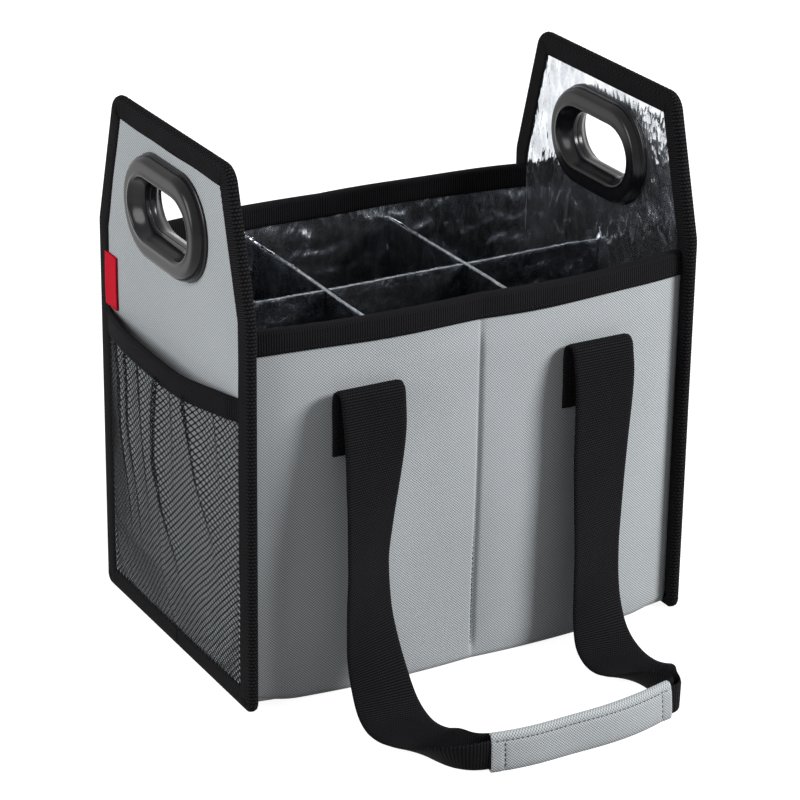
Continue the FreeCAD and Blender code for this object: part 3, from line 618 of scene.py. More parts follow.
# Half depth of the bag at x: an arc through the end, the crest of a lobe and the crease. Its middle and
# radius come from x^2 + y^2 = 2 a x + 2 b y + c at the three marks.
def halfDepth(x):
    far, crest = bag["innerX"], bag["innerX"] / 2
    marks = np.array([(far, wall["endDepth"]), (crest, wall["crestDepth"]), (0, wall["creaseDepth"])])
    square = (marks ** 2).sum(1)
    left = np.hstack([2 * marks, np.ones((3, 1))])
    middleX, middleY, rest = np.linalg.solve(left, square)
    radius = math.sqrt(rest + middleX ** 2 + middleY ** 2)
    return middleY + np.sqrt(radius ** 2 - (np.abs(x) - middleX) ** 2)


crease = dict(at=0.2, drift=-1.1, steepSide=0.7, softSide=1.8, depth=1.9, sag=0.65, sagWidth=7.0)


# Place of the crease: upright at the top, drifting to the left near the bottom
def creaseLine(level):
    return crease["at"] + crease["drift"] * (1 - ramp(0, 150, level))


# Depth of the crease: a narrow bell-shaped valley, steep on its left, with a wide shallow sag on its right
# that grows downwards
def creaseDip(x, level):
    off = x - creaseLine(level)
    width = np.where(off < 0, crease["steepSide"], crease["softSide"])
    valley = crease["depth"] * np.exp(-(off / width) ** 2)
    sag = crease["sag"] * np.exp(-(off / crease["sagWidth"]) ** 2) * ramp(-1, 2, off)
    return valley + sag * (1 - ramp(60, 170, level))


# One sheet that runs down the front wall, across the bottom and up the back wall.
# At each x the path is two upright lines, two quarter arcs and a level line; inset moves it inwards.
def wallSheet(inset, foot, top, radius, xs, wallRows, bottomRows, arcRows=9):
    depth = halfDepth(xs) - inset
    up = np.linspace(top, foot + radius, wallRows)
    turn = np.linspace(0, math.pi / 2, arcRows)[1:-1]
    share = np.linspace(-1, 1, bottomRows)
    straight = depth - radius
    y = np.vstack([-depth + 0 * up[:, None], -straight - radius * np.cos(turn)[:, None],
                   straight * share[:, None], straight + radius * np.sin(turn)[:, None],
                   depth + 0 * up[:, None]])
    z = np.concatenate([up, foot + radius * (1 - np.sin(turn)), np.full(bottomRows, foot),
                        foot + radius * (1 - np.cos(turn)), up[::-1]])
    return np.stack([np.broadcast_to(xs, y.shape), y, np.broadcast_to(z[:, None], y.shape)], -1)


# Outward direction on such a sheet: level on the walls, down on the bottom and between the two on the arcs
def sheetNormals(points):
    normal = unit(np.cross(np.gradient(points, axis=1), np.gradient(points, axis=0)))
    bottom = normal[len(points) // 2, points.shape[1] // 2]
    return normal if bottom[2] < 0 else -normal


rimTape = dict(width=13, puff=0.3, wander=0.35, round=2.4, square=0.6, stations=150)
cover = dict(wave=0.5, waveLength=95, lift=3.2, liftReach=26, creaseAtRim=0.3, fineHalf=12, fineSteps=15,
             steps=40, wallRows=60, bottomRows=40)


# Cloth of both long walls and the bottom: the plain sheet moved outwards by slow waves and inwards by the
# crease, with its bottom corners lifted a little. Its columns are closer near the crease.
def makeBodyCloth():
    half = bag["innerX"]
    near = np.linspace(0, cover["fineHalf"], cover["fineSteps"])
    far = np.linspace(cover["fineHalf"], half, cover["steps"])[1:]
    xs = np.concatenate([-far[::-1], -near[::-1], near[1:], far])
    points = wallSheet(0, 0, bag["clothTop"], wall["bottomRound"], xs, cover["wallRows"], cover["bottomRows"])
    normals = sheetNormals(points)
    x, y, z = points[..., 0], points[..., 1], points[..., 2]
    onWall = ramp(2, 14, z)
    underTape = ramp(18, 1, bag["rimTop"] - rimTape["width"] - z)
    wave = cover["wave"] * (1 + slowWaves(11, x + 400 * (y > 0), z, cover["waveLength"])) * onWall
    wave = wave * ramp(0, 20, half - np.abs(x)) * (1 - underTape)
    dip = creaseDip(x, z) * onWall * (1 - (1 - cover["creaseAtRim"]) * underTape)
    points = points + normals * (wave - dip)[..., None]
    corner = ramp(half - cover["liftReach"], half, np.abs(x)) * (1 - ramp(0, 30, z))
    points[..., 2] += cover["lift"] * corner * (np.abs(y) > 60)
    along = travelled(points[:, len(xs) // 2])
    uv = np.stack(np.meshgrid(along, xs, indexing="ij")[::-1], -1)
    piece = addGrid("body_cloth", points, greyCloth, ["body_shell"], uv=uv, flip=True)
    thicken(piece, bag["cloth"] - 0.1)
    for side, name in ((-1, "front"), (1, "back")):
        level = np.linspace(6, bag["rimTop"] - rimTape["width"] - 2, 80)
        line = np.stack([creaseLine(level), 0 * level, level], -1)
        line[:, 1] = side * (wall["creaseDepth"] - crease["depth"] + 0.35)
        up = everywhere((0, side, 0), line)
        addStitches("crease_stitches_" + name, line, up, seams["crease"])


film = dict(depth=1.15, fold=15, fineDepth=0.5, fineFold=5.5, columns=160, wallRows=100, bottomRows=60,
            bottomRound=3.0)


# Height of the crumpled film, from 0 to about its depth
def filmHeight(seed, across, up):
    coarse = crumple(seed, across, up, film["fold"]) * film["depth"]
    fine = crumple(seed + 7, across, up, film["fineFold"]) * film["fineDepth"]
    return np.clip(coarse + fine + 0.5 * film["depth"], 0, 2.2 * film["depth"])


# Foil of both long walls and the bottom: the sheet inside the foam, crumpled inwards and flat under the tape
def makeBodyLining():
    half = bag["innerX"] - 0.3
    xs = np.linspace(-half, half, film["columns"])
    inset = bag["cloth"] + bag["foam"] + 0.1
    points = wallSheet(inset, bag["floorTop"] - bag["lining"], bag["clothTop"], film["bottomRound"], xs,
                       film["wallRows"], film["bottomRows"])
    normals = sheetNormals(points)
    along = travelled(points[:, len(xs) // 2])
    sheetAcross, sheetUp = np.meshgrid(xs, along)
    underTape = ramp(rimTape["width"] + 8, rimTape["width"] - 3, bag["rimTop"] - points[..., 2])
    height = filmHeight(31, sheetAcross, sheetUp) * (1 - underTape)
    points = points - normals * height[..., None]
    uv = np.stack([sheetAcross, sheetUp], -1)
    addGrid("foil_lining", points, foilFilm, ["body_lining"], uv=uv)


# Binding over the top of a long wall: a folded section carried along the wall's plan. The fold is a flattened
# arch, with the cosine and sine of its turn raised to a power below one.
def makeRimBinding(side, name):
    half = bag["innerX"] + 0.2
    x = np.linspace(-half, half, rimTape["stations"])
    depth = halfDepth(np.minimum(np.abs(x), bag["innerX"]))
    places = np.stack([x, side * depth, np.zeros_like(x)], -1)
    outward = np.cross(headings(places), (0, 0, side))
    outward *= np.sign(outward[:, 1:2] * side)
    thick = bag["tape"]
    inner = -(bag["cloth"] + bag["foam"] + bag["lining"])
    top, foot = bag["rimTop"], bag["rimTop"] - rimTape["width"]
    shoulder, high = top - 3.2, rimTape["round"]
    turn = np.linspace(0, math.pi, 21)
    halfWide = thick - inner / 2
    centre = inner / 2
    flat = np.sign(np.cos(turn)) * np.abs(np.cos(turn)) ** rimTape["square"]
    arch = np.stack([centre + halfWide * flat, top - high + high * np.sin(turn) ** rimTape["square"]], -1)
    outer = np.stack([np.full(7, thick), np.linspace(foot, shoulder, 7)], -1)
    outer[:, 0] += rimTape["puff"] * np.sin(np.linspace(0, math.pi, 7))
    innerFace = np.stack([np.full(5, inner - thick), np.linspace(shoulder, foot, 5)], -1)
    skin = np.array([(inner - 0.05, foot), (inner - 0.05, shoulder - 0.2), (centre, top - 1.3),
                     (0.05, shoulder - 0.2), (0.05, foot)])
    section = np.vstack([outer, arch, innerFace, skin])
    sections = np.repeat(section[None], len(x), 0)
    low = section[:, 1] < foot + 0.01
    sections[:, low, 1] += rimTape["wander"] * slowWaves(41 + (side > 0), x, 0 * x, 60)[:, None]
    sections[:, :, 1] += 0.25 * slowWaves(43, x, 0 * x, 90)[:, None] * ramp(foot, top, section[:, 1])
    points = carried(places, outward, everywhere((0, 0, 1), places), sections)
    uv = spreadUv(travelled(places), travelled(section, True))
    addGrid("rim_tape_" + name, points, blackTape, ["rim_binding_" + name], uv=uv,
            closeCols=True, capEnds=True, closed=True)
    line = places + outward * (thick + 0.2)
    line[:, 2] = foot + 2.2
    addStitches("rim_stitches_" + name, line[3:-3], outward[3:-3], seams["tape"])


makeBodyCloth()
makeBodyLining()
for wallSide, wallName in ((-1, "front"), (1, "back")):
    makeRimBinding(wallSide, wallName)
print("stage: long walls made")


# The ends

endShape = dict(topHalf=70.5, taperLevel=225, topRound=12, kinkRound=20, footRound=6)


# Outline of an end in Y and Z, moved in by an inset, counter-clockwise from the front foot
def endOutline(inset, count=420):
    half, top, taper = bag["endHalf"], bag["endTop"], endShape["taperLevel"]
    lean = math.atan2(half - endShape["topHalf"], top - taper)
    footY, kinkZ = half - inset, taper - inset * math.tan(lean / 2)
    topY, topZ = endShape["topHalf"] - inset * (1 - math.sin(lean)) / math.cos(lean), top - inset
    corners = [(-footY, inset), (footY, inset), (footY, kinkZ), (topY, topZ), (-topY, topZ), (-footY, kinkZ)]
    foot = max(endShape["footRound"] - inset, 0.5)
    topRound, kink = max(endShape["topRound"] - inset, 0.5), endShape["kinkRound"]
    return roundOutline(corners, [foot, foot, kink, topRound, topRound, kink], count)


endTape = dict(width=12.5, puff=0.4, wander=0.3, pleat=0.55, pleatPitch=3.4, flangeHidden=8.6, tuck=3.6,
               rib=2.0, ribDepth=0.17, overlap=0.45, overlapAt=-2, overlapLength=14, edgeRound=2.6,
               stations=1150, faceSteps=8, edgeSteps=11)
endLayer = dict(holeLength=64.6, holeHeight=32.6, clothRings=26, foilRings=86)


# A flat layer of an end: rings of points from the hand hole out to the layer's outline. Each outline point is
# joined to the hole's edge where the hole is seen at the same angle.
def endSheet(rings):
    outer = endOutline(endTape["tuck"])
    middle = np.array([0, bag["gripLevel"]])
    angle = np.arctan2(*(outer - middle).T[::-1])
    hole = stadium(endLayer["holeLength"], endLayer["holeHeight"], bag["gripLevel"], 900)
    holeAngle = np.arctan2(*(hole - middle).T[::-1])
    order = np.argsort(holeAngle)
    known = holeAngle[order]
    start = np.stack([np.interp(angle, known, hole[order, k], period=2 * math.pi) for k in (0, 1)], -1)
    share = np.linspace(0, 1, rings)[:, None, None] ** 1.15
    return start[None] * (1 - share) + outer[None] * share


# UV map of such a layer: its own Y and Z, with the first column again at the end
def layerUv(flat):
    return np.concatenate([flat, flat[:, :1]], 1)


# Outer cloth of an end, with a slight swell that is flat at its edge and under the grip
def makeEndPanel(side, name):
    flat = endSheet(endLayer["clothRings"])
    y, z = flat[..., 0], flat[..., 1]
    swell = 0.35 * (1 + slowWaves(51 + side, y, z, 80)) * ramp(0, 30, bag["endTop"] - z) * ramp(0, 25, z)
    swell *= ramp(46, 60, np.hypot(y, (z - bag["gripLevel"]) * 1.4))
    points = np.stack([side * (bag["coverX"] - 0.1 + 0.5 * swell), y, z], -1)
    piece = addGrid("end_cloth_" + name, points, greyCloth, ["end_panel_" + name],
                    uv=layerUv(flat), closeCols=True, flip=side > 0)
    thicken(piece, bag["cloth"] - 0.2)


# Foil of an end: crumpled film drawn out upwards, flat at its edge and under the grip
def makeEndLining(side, name):
    flat = endSheet(endLayer["foilRings"])
    y, z = flat[..., 0], flat[..., 1]
    still = ramp(33, 48, np.hypot(y * 0.75, z - bag["gripLevel"]))
    fromEdge = np.linalg.norm(flat - flat[-1], axis=-1)
    still *= ramp(endTape["width"] - 3, endTape["width"] + 6, fromEdge)
    height = filmHeight(61 + side, y * 1.25, z * 0.55) * still
    points = np.stack([side * (bag["innerX"] - height * 0.8), y, z], -1)
    addGrid("end_foil_" + name, points, foilFilm, ["end_lining_" + name],
            uv=layerUv(flat), closeCols=True, flip=side < 0)


# Section of the end binding at every station, as distance in from the outline and X: the outer face, a half
# round over the edge, the inner face and back along the skin. The inner face is narrow where the long walls
# and the bottom meet the end.
def bindingSection(y, z, outerWidth):
    count, round_ = len(y), endTape["edgeRound"]
    outerX, innerX, thick = bag["tapeX"], bag["innerX"] - bag["tape"], bag["tape"]
    bare = ramp(-1.5, 1.5, z - bag["rimTop"])
    innerWidth = endTape["width"] * bare + endTape["flangeHidden"] * (1 - bare)
    underBag = (1 - ramp(2, 9, z)) * (1 - ramp(80, 86, np.abs(y)))
    innerWidth = innerWidth * (1 - underBag) + underBag
    share = np.linspace(1, 0, endTape["faceSteps"])[:-1]
    outerFace = round_ + (outerWidth[:, None] - round_) * share
    outerLift = outerX + endTape["puff"] * np.sin(math.pi * share) - 0.3 * (share == 1)
    turn = np.linspace(-math.pi / 2, math.pi / 2, endTape["edgeSteps"])
    edgeX = (outerX + innerX - (outerX - innerX) * np.sin(turn)) / 2
    edge = np.stack([round_ * (1 - np.cos(turn)), edgeX], -1)
    innerFace = np.maximum(round_ + (innerWidth[:, None] - round_) * share[::-1], 0.9)
    skin = [(np.maximum(innerWidth - 0.1, 0.85), innerX + thick - 0.1), (np.full(count, 1.1), innerX + thick),
            (np.full(count, 1.1), outerX - thick), (outerWidth - 0.1, outerX - thick + 0.1)]
    return np.concatenate([
        np.stack([outerFace, np.broadcast_to(outerLift, outerFace.shape)], -1),
        np.broadcast_to(edge, (count,) + edge.shape),
        np.stack([innerFace, np.full(innerFace.shape, innerX)], -1),
        np.stack([np.stack([inwards, np.full(count, x)], -1) for inwards, x in skin], 1)], 1)


# Binding folded round the edge of an end: its section carried round the outline, with pleats on its outer
# face where the outline is tightly bent, ribs over its edge and a step where its two ends overlap
def makeEndBinding(side, name):
    outline = endOutline(0, endTape["stations"])
    tangent = headings(outline, closed=True)
    inward = np.stack([-tangent[:, 1], tangent[:, 0]], -1)
    around = travelled(outline, True)
    along = around[:-1]
    y, z = outline.T
    count, face = len(y), endTape["faceSteps"] - 1
    outerWidth = endTape["width"] + endTape["wander"] * slowWaves(71 + side, along, 0 * y, 55)
    section = bindingSection(y, z, outerWidth)
    bend = np.abs(np.gradient(np.unwrap(np.arctan2(tangent[:, 1], tangent[:, 0])))) / np.gradient(along)
    window = np.ones(49) / 49
    tight = np.convolve(np.tile(ramp(0.01, 0.05, bend), 3), window, "same")[count:2 * count]
    pleat = endTape["pleat"] * tight * np.maximum(np.sin(2 * math.pi * along / endTape["pleatPitch"]), -0.3)
    section[:, :face, 1] += pleat[:, None] * ramp(1, 5, section[:, :face, 0])
    rib = endTape["ribDepth"] * np.cos(2 * math.pi * along / endTape["rib"])[:, None]
    turn = np.linspace(-math.pi / 2, math.pi / 2, endTape["edgeSteps"])
    section[:, face - 1:face + len(turn), 0] -= rib * np.concatenate([[0.3], np.cos(turn) ** 0.5])
    start, finish = endTape["overlapAt"], endTape["overlapAt"] + endTape["overlapLength"]
    lapped = (z < 2) * ramp(start - 0.4, start, y) * (1 - ramp(start + 2, finish, y))
    section[:, :face, 1] += endTape["overlap"] * lapped[:, None]
    inPlane = outline[:, None] + inward[:, None] * section[..., :1]
    points = np.concatenate([side * section[..., 1:], inPlane], -1)
    points[..., 2] = np.maximum(points[..., 2], 0.0)
    addGrid("end_tape_" + name, points, blackEdging, ["end_binding_" + name],
            uv=spreadUv(around, travelled(section[0], True)), closeRows=True, closeCols=True, closed=True)
    seam = outline + inward * (endTape["width"] - 2.3)
    line = np.column_stack([np.full(count, side * (bag["tapeX"] + 0.25)), seam])
    addStitches("end_stitches_" + name, line, everywhere((side, 0, 0), line), seams["tape"],
                closed=True)


# Plastic grip: a section carried round the hand hole. w runs from the hole's edge to the rim's edge and
# h from the middle of the end outwards.
grip = dict(
    holeLength=60, holeHeight=28, stations=160, sectionSteps=44,
    crown=nodeBox("grip_outer_right")[1][0], middle=nodeBox("grip_outer_right")[0][0],
    section=[(0, 0.02), (0, 7.0), (0.12, 8.2), (0.45, 9.1), (1.0, 9.75), (1.8, 10.0), (2.6, 9.98),
             (3.4, 9.85), (4.2, 9.75), (6.0, 9.7), (8.5, 9.68), (10.6, 9.6), (12.2, 9.25), (13.6, 8.3),
             (14.6, 6.9), (15.1, 5.4), (15.25, 4.2), (15.3, 3.65), (15.5, 3.42), (15.85, 3.3),
             (16.0, 3.05), (16.0, 2.3), (14.0, 2.25), (2.05, 2.25), (2.0, 0.02)],
    curved=18,  # points read through a spline by their own length; the flange after them stays sharp
    flare=(3.0, 6.2),  # the hole widens towards its face: above and below, and at both ends
)


# One half of a grip: each point of the section goes out from the hole's edge, the more so near the hole's
# face, by the flare above and below and at both ends, blended by the square of the outward direction's Y
def makeGrip(side, half, name):
    hole = stadium(grip["holeLength"], grip["holeHeight"], bag["gripLevel"], 2000)
    tangent = headings(hole, closed=True)
    outward = np.stack([tangent[:, 1], -tangent[:, 0]], -1)
    pick = np.linspace(0, len(hole), grip["stations"], endpoint=False).astype(int)
    hole, outward = hole[pick], outward[pick]
    section, curved = np.array(grip["section"]), grip["curved"]
    scale = (grip["crown"] - grip["middle"]) / section[:, 1].max()
    marks = travelled(section)[:curved]
    fine = spline(marks, section[:curved], np.linspace(0, marks[-1], grip["sectionSteps"]))
    fine = np.concatenate([fine, section[curved:]])
    direction = side if half == "outer" else -side
    x = side * grip["middle"] + direction * fine[:, 1] * scale
    most = grip["flare"][0] + (grip["flare"][1] - grip["flare"][0]) * outward[:, :1] ** 2
    width = fine[:, 0] + most * np.clip(1 - fine[:, 0] / 14, 0, 1) * ramp(2.3, 9.5, fine[:, 1])
    points = np.stack([
        np.broadcast_to(x, width.shape),
        hole[:, :1] + outward[:, :1] * width,
        hole[:, 1:] + outward[:, 1:] * width], -1)
    addGrid("grip_%s_rim_%s" % (half, name), points, gripPlastic,
            ["grip_%s_%s" % (half, name)], closeRows=True, closeCols=True, closed=True)


for endSide, endName in ((-1, "left"), (1, "right")):
    makeEndPanel(endSide, endName)
    makeEndLining(endSide, endName)
    makeEndBinding(endSide, endName)
    makeGrip(endSide, "outer", endName)
    makeGrip(endSide, "inner", endName)
print("stage: ends made")


# The dividers

divider = dict(thickness=2.6, slot=3.4, crossShare=1 / 3, edge=1.0, step=1.9, rows=86)


# A divider is one crumpled sheet with a slot cut to half its height, then given its thickness.
# run is the coordinate along it, slots the places of the slots and slotUp whether they open upwards.
def makeDivider(name, node, runMax, slots, slotUp, place, seed):
    low, top = bag["floorTop"] + 0.3, bag["dividerTop"]
    middle = (bag["floorTop"] + top) / 2
    half = divider["slot"] / 2
    marks = [-runMax, runMax] + [s - half for s in slots] + [s + half for s in slots]
    even = np.linspace(-runMax, runMax, int(runMax / divider["step"]))
    run = np.unique(np.round(np.concatenate([even, marks]), 3))
    up = np.unique(np.round(np.concatenate([np.linspace(low, top, divider["rows"]), [middle]]), 3))
    across, level = np.meshgrid(run, up, indexing="ij")
    bulge = (filmHeight(seed, across, level) - 0.8) * 0.8 * ramp(0, 5, top - level)
    for s in slots:
        bulge *= ramp(half, half + 4, np.abs(across - s))
    bulge += 0.9 * slowWaves(seed + 3, across, level, 120) * ramp(0, 15, runMax - np.abs(across))
    faces, _ = gridQuads(len(run), len(up))
    midRun = (run[:-1] + run[1:]) / 2
    midUp = (up[:-1] + up[1:]) / 2
    cutRun = np.zeros(len(midRun), bool)
    for s in slots:
        cutRun |= np.abs(midRun - s) < half
    cutUp = midUp > middle if slotUp else midUp < middle
    keepFace = ~(cutRun[:, None] & cutUp[None]).ravel()
    faces = faces[keepFace]
    used, faces = np.unique(faces, return_inverse=True)
    faces = faces.reshape(-1, 4)  # only the points that the faces left over use
    points = place(across, level, bulge).reshape(-1, 3)[used]
    uv = np.stack([across, level], -1).reshape(-1, 2)[used]
    piece = addPiece(name, points, faces, shadedDividerFilm, [node], uv=uv)
    thicken(piece, divider["thickness"], 0.0)
    roundEdges(piece, divider["edge"], 60)


# The long divider with two slots from above, and two cross dividers with one slot from below
def makeDividers():
    crossX = bag["innerX"] * divider["crossShare"]
    makeDivider("long_divider", "divider_long", bag["innerX"] - 1.2, [-crossX, crossX], True,
                lambda across, level, bulge: np.stack([across, bulge, level], -1), 81)
    reach = float(halfDepth(np.array([crossX]))[0]) - bag["cloth"] - bag["foam"] - bag["lining"] - 1.0
    for side, name in ((-1, "left"), (1, "right")):
        makeDivider("cross_divider_" + name, "divider_cross_" + name, reach, [0.0], False,
                    lambda across, level, bulge, x=side * crossX: np.stack([x + bulge, across, level], -1),
                    91 + side)


makeDividers()
print("stage: dividers made")


# The side pocket

pocket = dict(
    foot=11.8, side=81.2, bulge=10.2, diamondWide=4.1, diamondTall=3.8, threadWide=0.78, threadThick=0.45,
    bandThick=1.4, frontRise=4.5,
    # each fold: places across at even steps from the foot to the band, half width, height and reach downwards
    folds=[((-0.42, -0.34, -0.27, -0.13, -0.04, -0.04, -0.08), 0.085, 5.2, 0.66),
           ((-0.9, -0.86, -0.8, -0.73, -0.62, -0.52, -0.43), 0.075, 4.2, 0.5),
           ((0.1, 0.1, 0.12, 0.15, 0.18, 0.22, 0.28), 0.05, 1.8, 0.5),
           ((0.3, 0.3, 0.32, 0.36, 0.42, 0.48, 0.55), 0.05, 2.4, 0.6),
           ((0.5, 0.5, 0.52, 0.57, 0.64, 0.71, 0.78), 0.045, 2.4, 0.6),
           ((-0.3, -0.3, -0.3, -0.3, -0.28, -0.26, -0.24), 0.04, 1.3, 0.35),
           ((-0.88, -0.88, -0.88, -0.87, -0.84, -0.8, -0.74), 0.04, 1.6, 0.4)],
)


# How far the pocket stands off its end: a bow between both sides
def pocketBow(share):
    return (1 - share ** 2) * pocket["bulge"]


# The band rises to its front end
def bandRise(share):
    return pocket["frontRise"] * ramp(-0.3, -1.0, share) + 1.5 * (1 - share ** 2)


# Surface of the pocket: the bow grows with height, and each fold is a ridge with one steep side that starts
# under the band and drifts and fades downwards. share runs across from -1 to 1 and up from 0 to 1.
def pocketPlace(share, up):
    foot, head = pocket["foot"], bag["bandFoot"] + 3 + bandRise(share)
    bow = pocketBow(share) * np.interp(up, (0, 0.02, 0.25, 0.65, 0.95, 1), (0.02, 0.14, 0.85, 1.1, 1.03, 1))
    still = (1 - share ** 8) * np.interp(up, (0, 0.06, 0.3, 0.97, 1), (0, 0.2, 0.7, 1, 0.75))
    ridge = 0 * share * up
    drawn = 0 * share * up
    for line, width, height, reach in pocket["folds"]:
        off = (share - np.interp(up, np.linspace(0, 1, len(line)), line)) / width
        fade = ramp(1 - reach - 0.25, 1 - reach + 0.45, up)
        steep = np.where(off > 0, 0.45, 1.0)
        ridge = ridge + height * fade * np.exp(-(off / steep) ** 2)
        drawn = drawn + 0.35 * width * height / 5 * fade * np.tanh(off) * np.exp(-(off / 2.5) ** 2)
    wave = 0.5 * slowWaves(103, share * pocket["side"], up * 150, 60)
    x = -(bag["coverX"] + 0.35 + bow + (ridge + wave) * still)
    y = pocket["side"] * (share - drawn * still)
    return np.stack([x, y, foot + (head - foot) * up], -1)


# Net: two families of slanting threads on the flat cloth, carried onto the surface
def makeNet():
    lookShare = np.linspace(-1, 1, 900)
    lookUp = np.linspace(0, 1, 160)
    look = pocketPlace(*np.meshgrid(lookShare, lookUp, indexing="ij"))
    wide = travelled(look[:, 110])
    flatWide, flatTall = wide[-1], look[0, -1, 2] - look[0, 0, 2]
    a, b = pocket["diamondWide"], pocket["diamondTall"]
    threads = np.arange(-math.ceil(flatTall / b) - 1, math.ceil(flatWide / a) + math.ceil(flatTall / b) + 2)
    q = np.linspace(0, flatTall, int(flatTall / (b / 2)) * 2 + 1)
    pieces, links, start = [], [], 0
    for lean in (1, -1):
        p = a * (threads[:, None] - lean * q[None] / b)
        inside = (p >= 0) & (p <= flatWide)
        share = np.interp(np.clip(p, 0, flatWide), wide, lookShare)
        up = np.broadcast_to(q[None] / flatTall, share.shape)
        middle = pocketPlace(share, up)
        nudge = 0.004
        across = [pocketPlace(np.clip(share + step, -1, 1), up) for step in (nudge, -nudge)]
        rise = [pocketPlace(share, np.clip(up + step, 0, 1)) for step in (nudge, -nudge)]
        normal = unit(np.cross(rise[0] - rise[1], across[0] - across[1]))
        normal *= np.where(normal[..., :1] > 0, -1, 1)
        along = unit(np.gradient(middle, axis=1))
        side = unit(np.cross(normal, along))
        lift = 0.18 * lean
        w, t = pocket["threadWide"] / 2, pocket["threadThick"] / 2
        ring = np.array([(w, 0), (0, t), (-w, 0), (0, -t)])
        tube = middle[:, :, None] + side[:, :, None] * ring[:, :1]
        tube = tube + normal[:, :, None] * (ring[:, 1:] + lift)
        rows, cols = inside.shape
        index = start + np.arange(rows * cols * 4).reshape(rows, cols, 4)
        both = inside[:, :-1] & inside[:, 1:]
        for k in range(4):
            m = (k + 1) % 4
            quad = np.stack([index[:, :-1, k], index[:, 1:, k], index[:, 1:, m], index[:, :-1, m]], -1)
            links.append(quad[both])
        padded = np.pad(both, ((0, 0), (1, 1)))
        first = inside & padded[:, 1:] & ~padded[:, :-1]
        last = inside & padded[:, :-1] & ~padded[:, 1:]
        links += [index[first], index[last][:, ::-1]]
        pieces.append(tube.reshape(-1, 3))
        start += rows * cols * 4
    points, faces = np.vstack(pieces), np.vstack(links)
    used, faces = np.unique(faces, return_inverse=True)
    faces = faces.reshape(-1, 4)
    points = points[used]
    net = addPiece("pocket_net", points, faces, netThread, ["pocket_mesh"], uv=points[:, 1:],
                   closed=True)
    print("net: flat %.0f by %.0f mm, %d faces" % (flatWide, flatTall, len(faces)))


# Tape along the top of the pocket, bowed like the net and a little hollow at its middle
def makePocketBand():
    share = np.linspace(-1, 1, 150)
    foot, top = bag["bandFoot"], bag["pocketTop"]
    y = pocket["side"] * share * 1.02
    bow = pocketBow(share) + 0.4 * slowWaves(101, y, 0 * y, 70) * (1 - share ** 2)
    places = np.stack([-(bag["coverX"] + 0.2 + bow), y, bandRise(share)], -1)
    outward = np.cross(headings(places), (0.0, 0.0, 1.0))
    outward *= np.where(outward[:, :1] > 0, -1, 1)
    thick = pocket["bandThick"]
    up = np.linspace(0, 1, 9)
    outer = np.stack([thick + 0.6 + 0.5 * np.sin(math.pi * up), foot + (top - foot) * up], -1)
    fold = np.array([(thick * 0.5 + 0.3, top + 0.7)])
    inner = np.stack([0 * up[::-1], foot + (top - foot) * up[::-1]], -1)
    section = np.vstack([outer, fold, inner])
    sections = np.repeat(section[None], len(share), 0)
    sections[..., 0] *= (0.18 + 0.82 * ramp(0, 9, pocket["side"] - np.abs(y)))[:, None]
    points = carried(places, outward, everywhere((0, 0, 1), places), sections)
    uv = spreadUv(travelled(places), travelled(section, True))
    addGrid("pocket_tape", points, blackTape, ["pocket_band"], uv=uv, closeCols=True,
            capEnds=True, closed=True)
    for name, level in (("low", foot + 2.0), ("high", top - 1.8)):
        line = places + outward * (thick + 0.95)
        line[:, 2] = places[:, 2] + level
        addStitches("pocket_stitches_" + name, line[4:-4], outward[4:-4], seams["tape"])


# Red tab: a folded label with its loop outwards and its loose ends under the binding
def makeTab():
    low, high = nodeBox("side_tab")
    up = np.linspace(low[2], high[2], 40)
    reach = high[1] - low[1]
    turn = np.linspace(math.pi / 2, 3 * math.pi / 2, 9)
    loop = np.stack([0.5 + 0.5 * np.cos(turn), 0.55 * np.sin(turn)], -1)
    front = np.stack([np.linspace(reach + 3, 0.6, 12), np.full(12, 0.55)], -1)
    back = np.stack([np.linspace(0.6, reach + 3, 12), np.full(12, -0.55)], -1)
    section = np.vstack([front, loop, back])
    bend = 0.5 * np.sin((up - low[2]) / (high[2] - low[2]) * math.pi)
    curl = 0.6 * ((section[:, 0] - reach) / reach) ** 2
    x = -(bag["coverX"] + 0.75 + section[None, :, 1] + bend[:, None] * 0.5 + curl[None] * 0.6)
    y = low[1] + np.broadcast_to(section[None, :, 0], x.shape)
    points = np.stack([x, y, np.broadcast_to(up[:, None], x.shape)], -1)
    around = travelled(section, True)
    addGrid("red_tab", points, redWoven, ["side_tab"], uv=spreadUv(up, around), closeCols=True,
            capEnds=True, closed=True)


makeNet()
makePocketBand()
makeTab()
print("stage: pocket made")


# The carrying straps

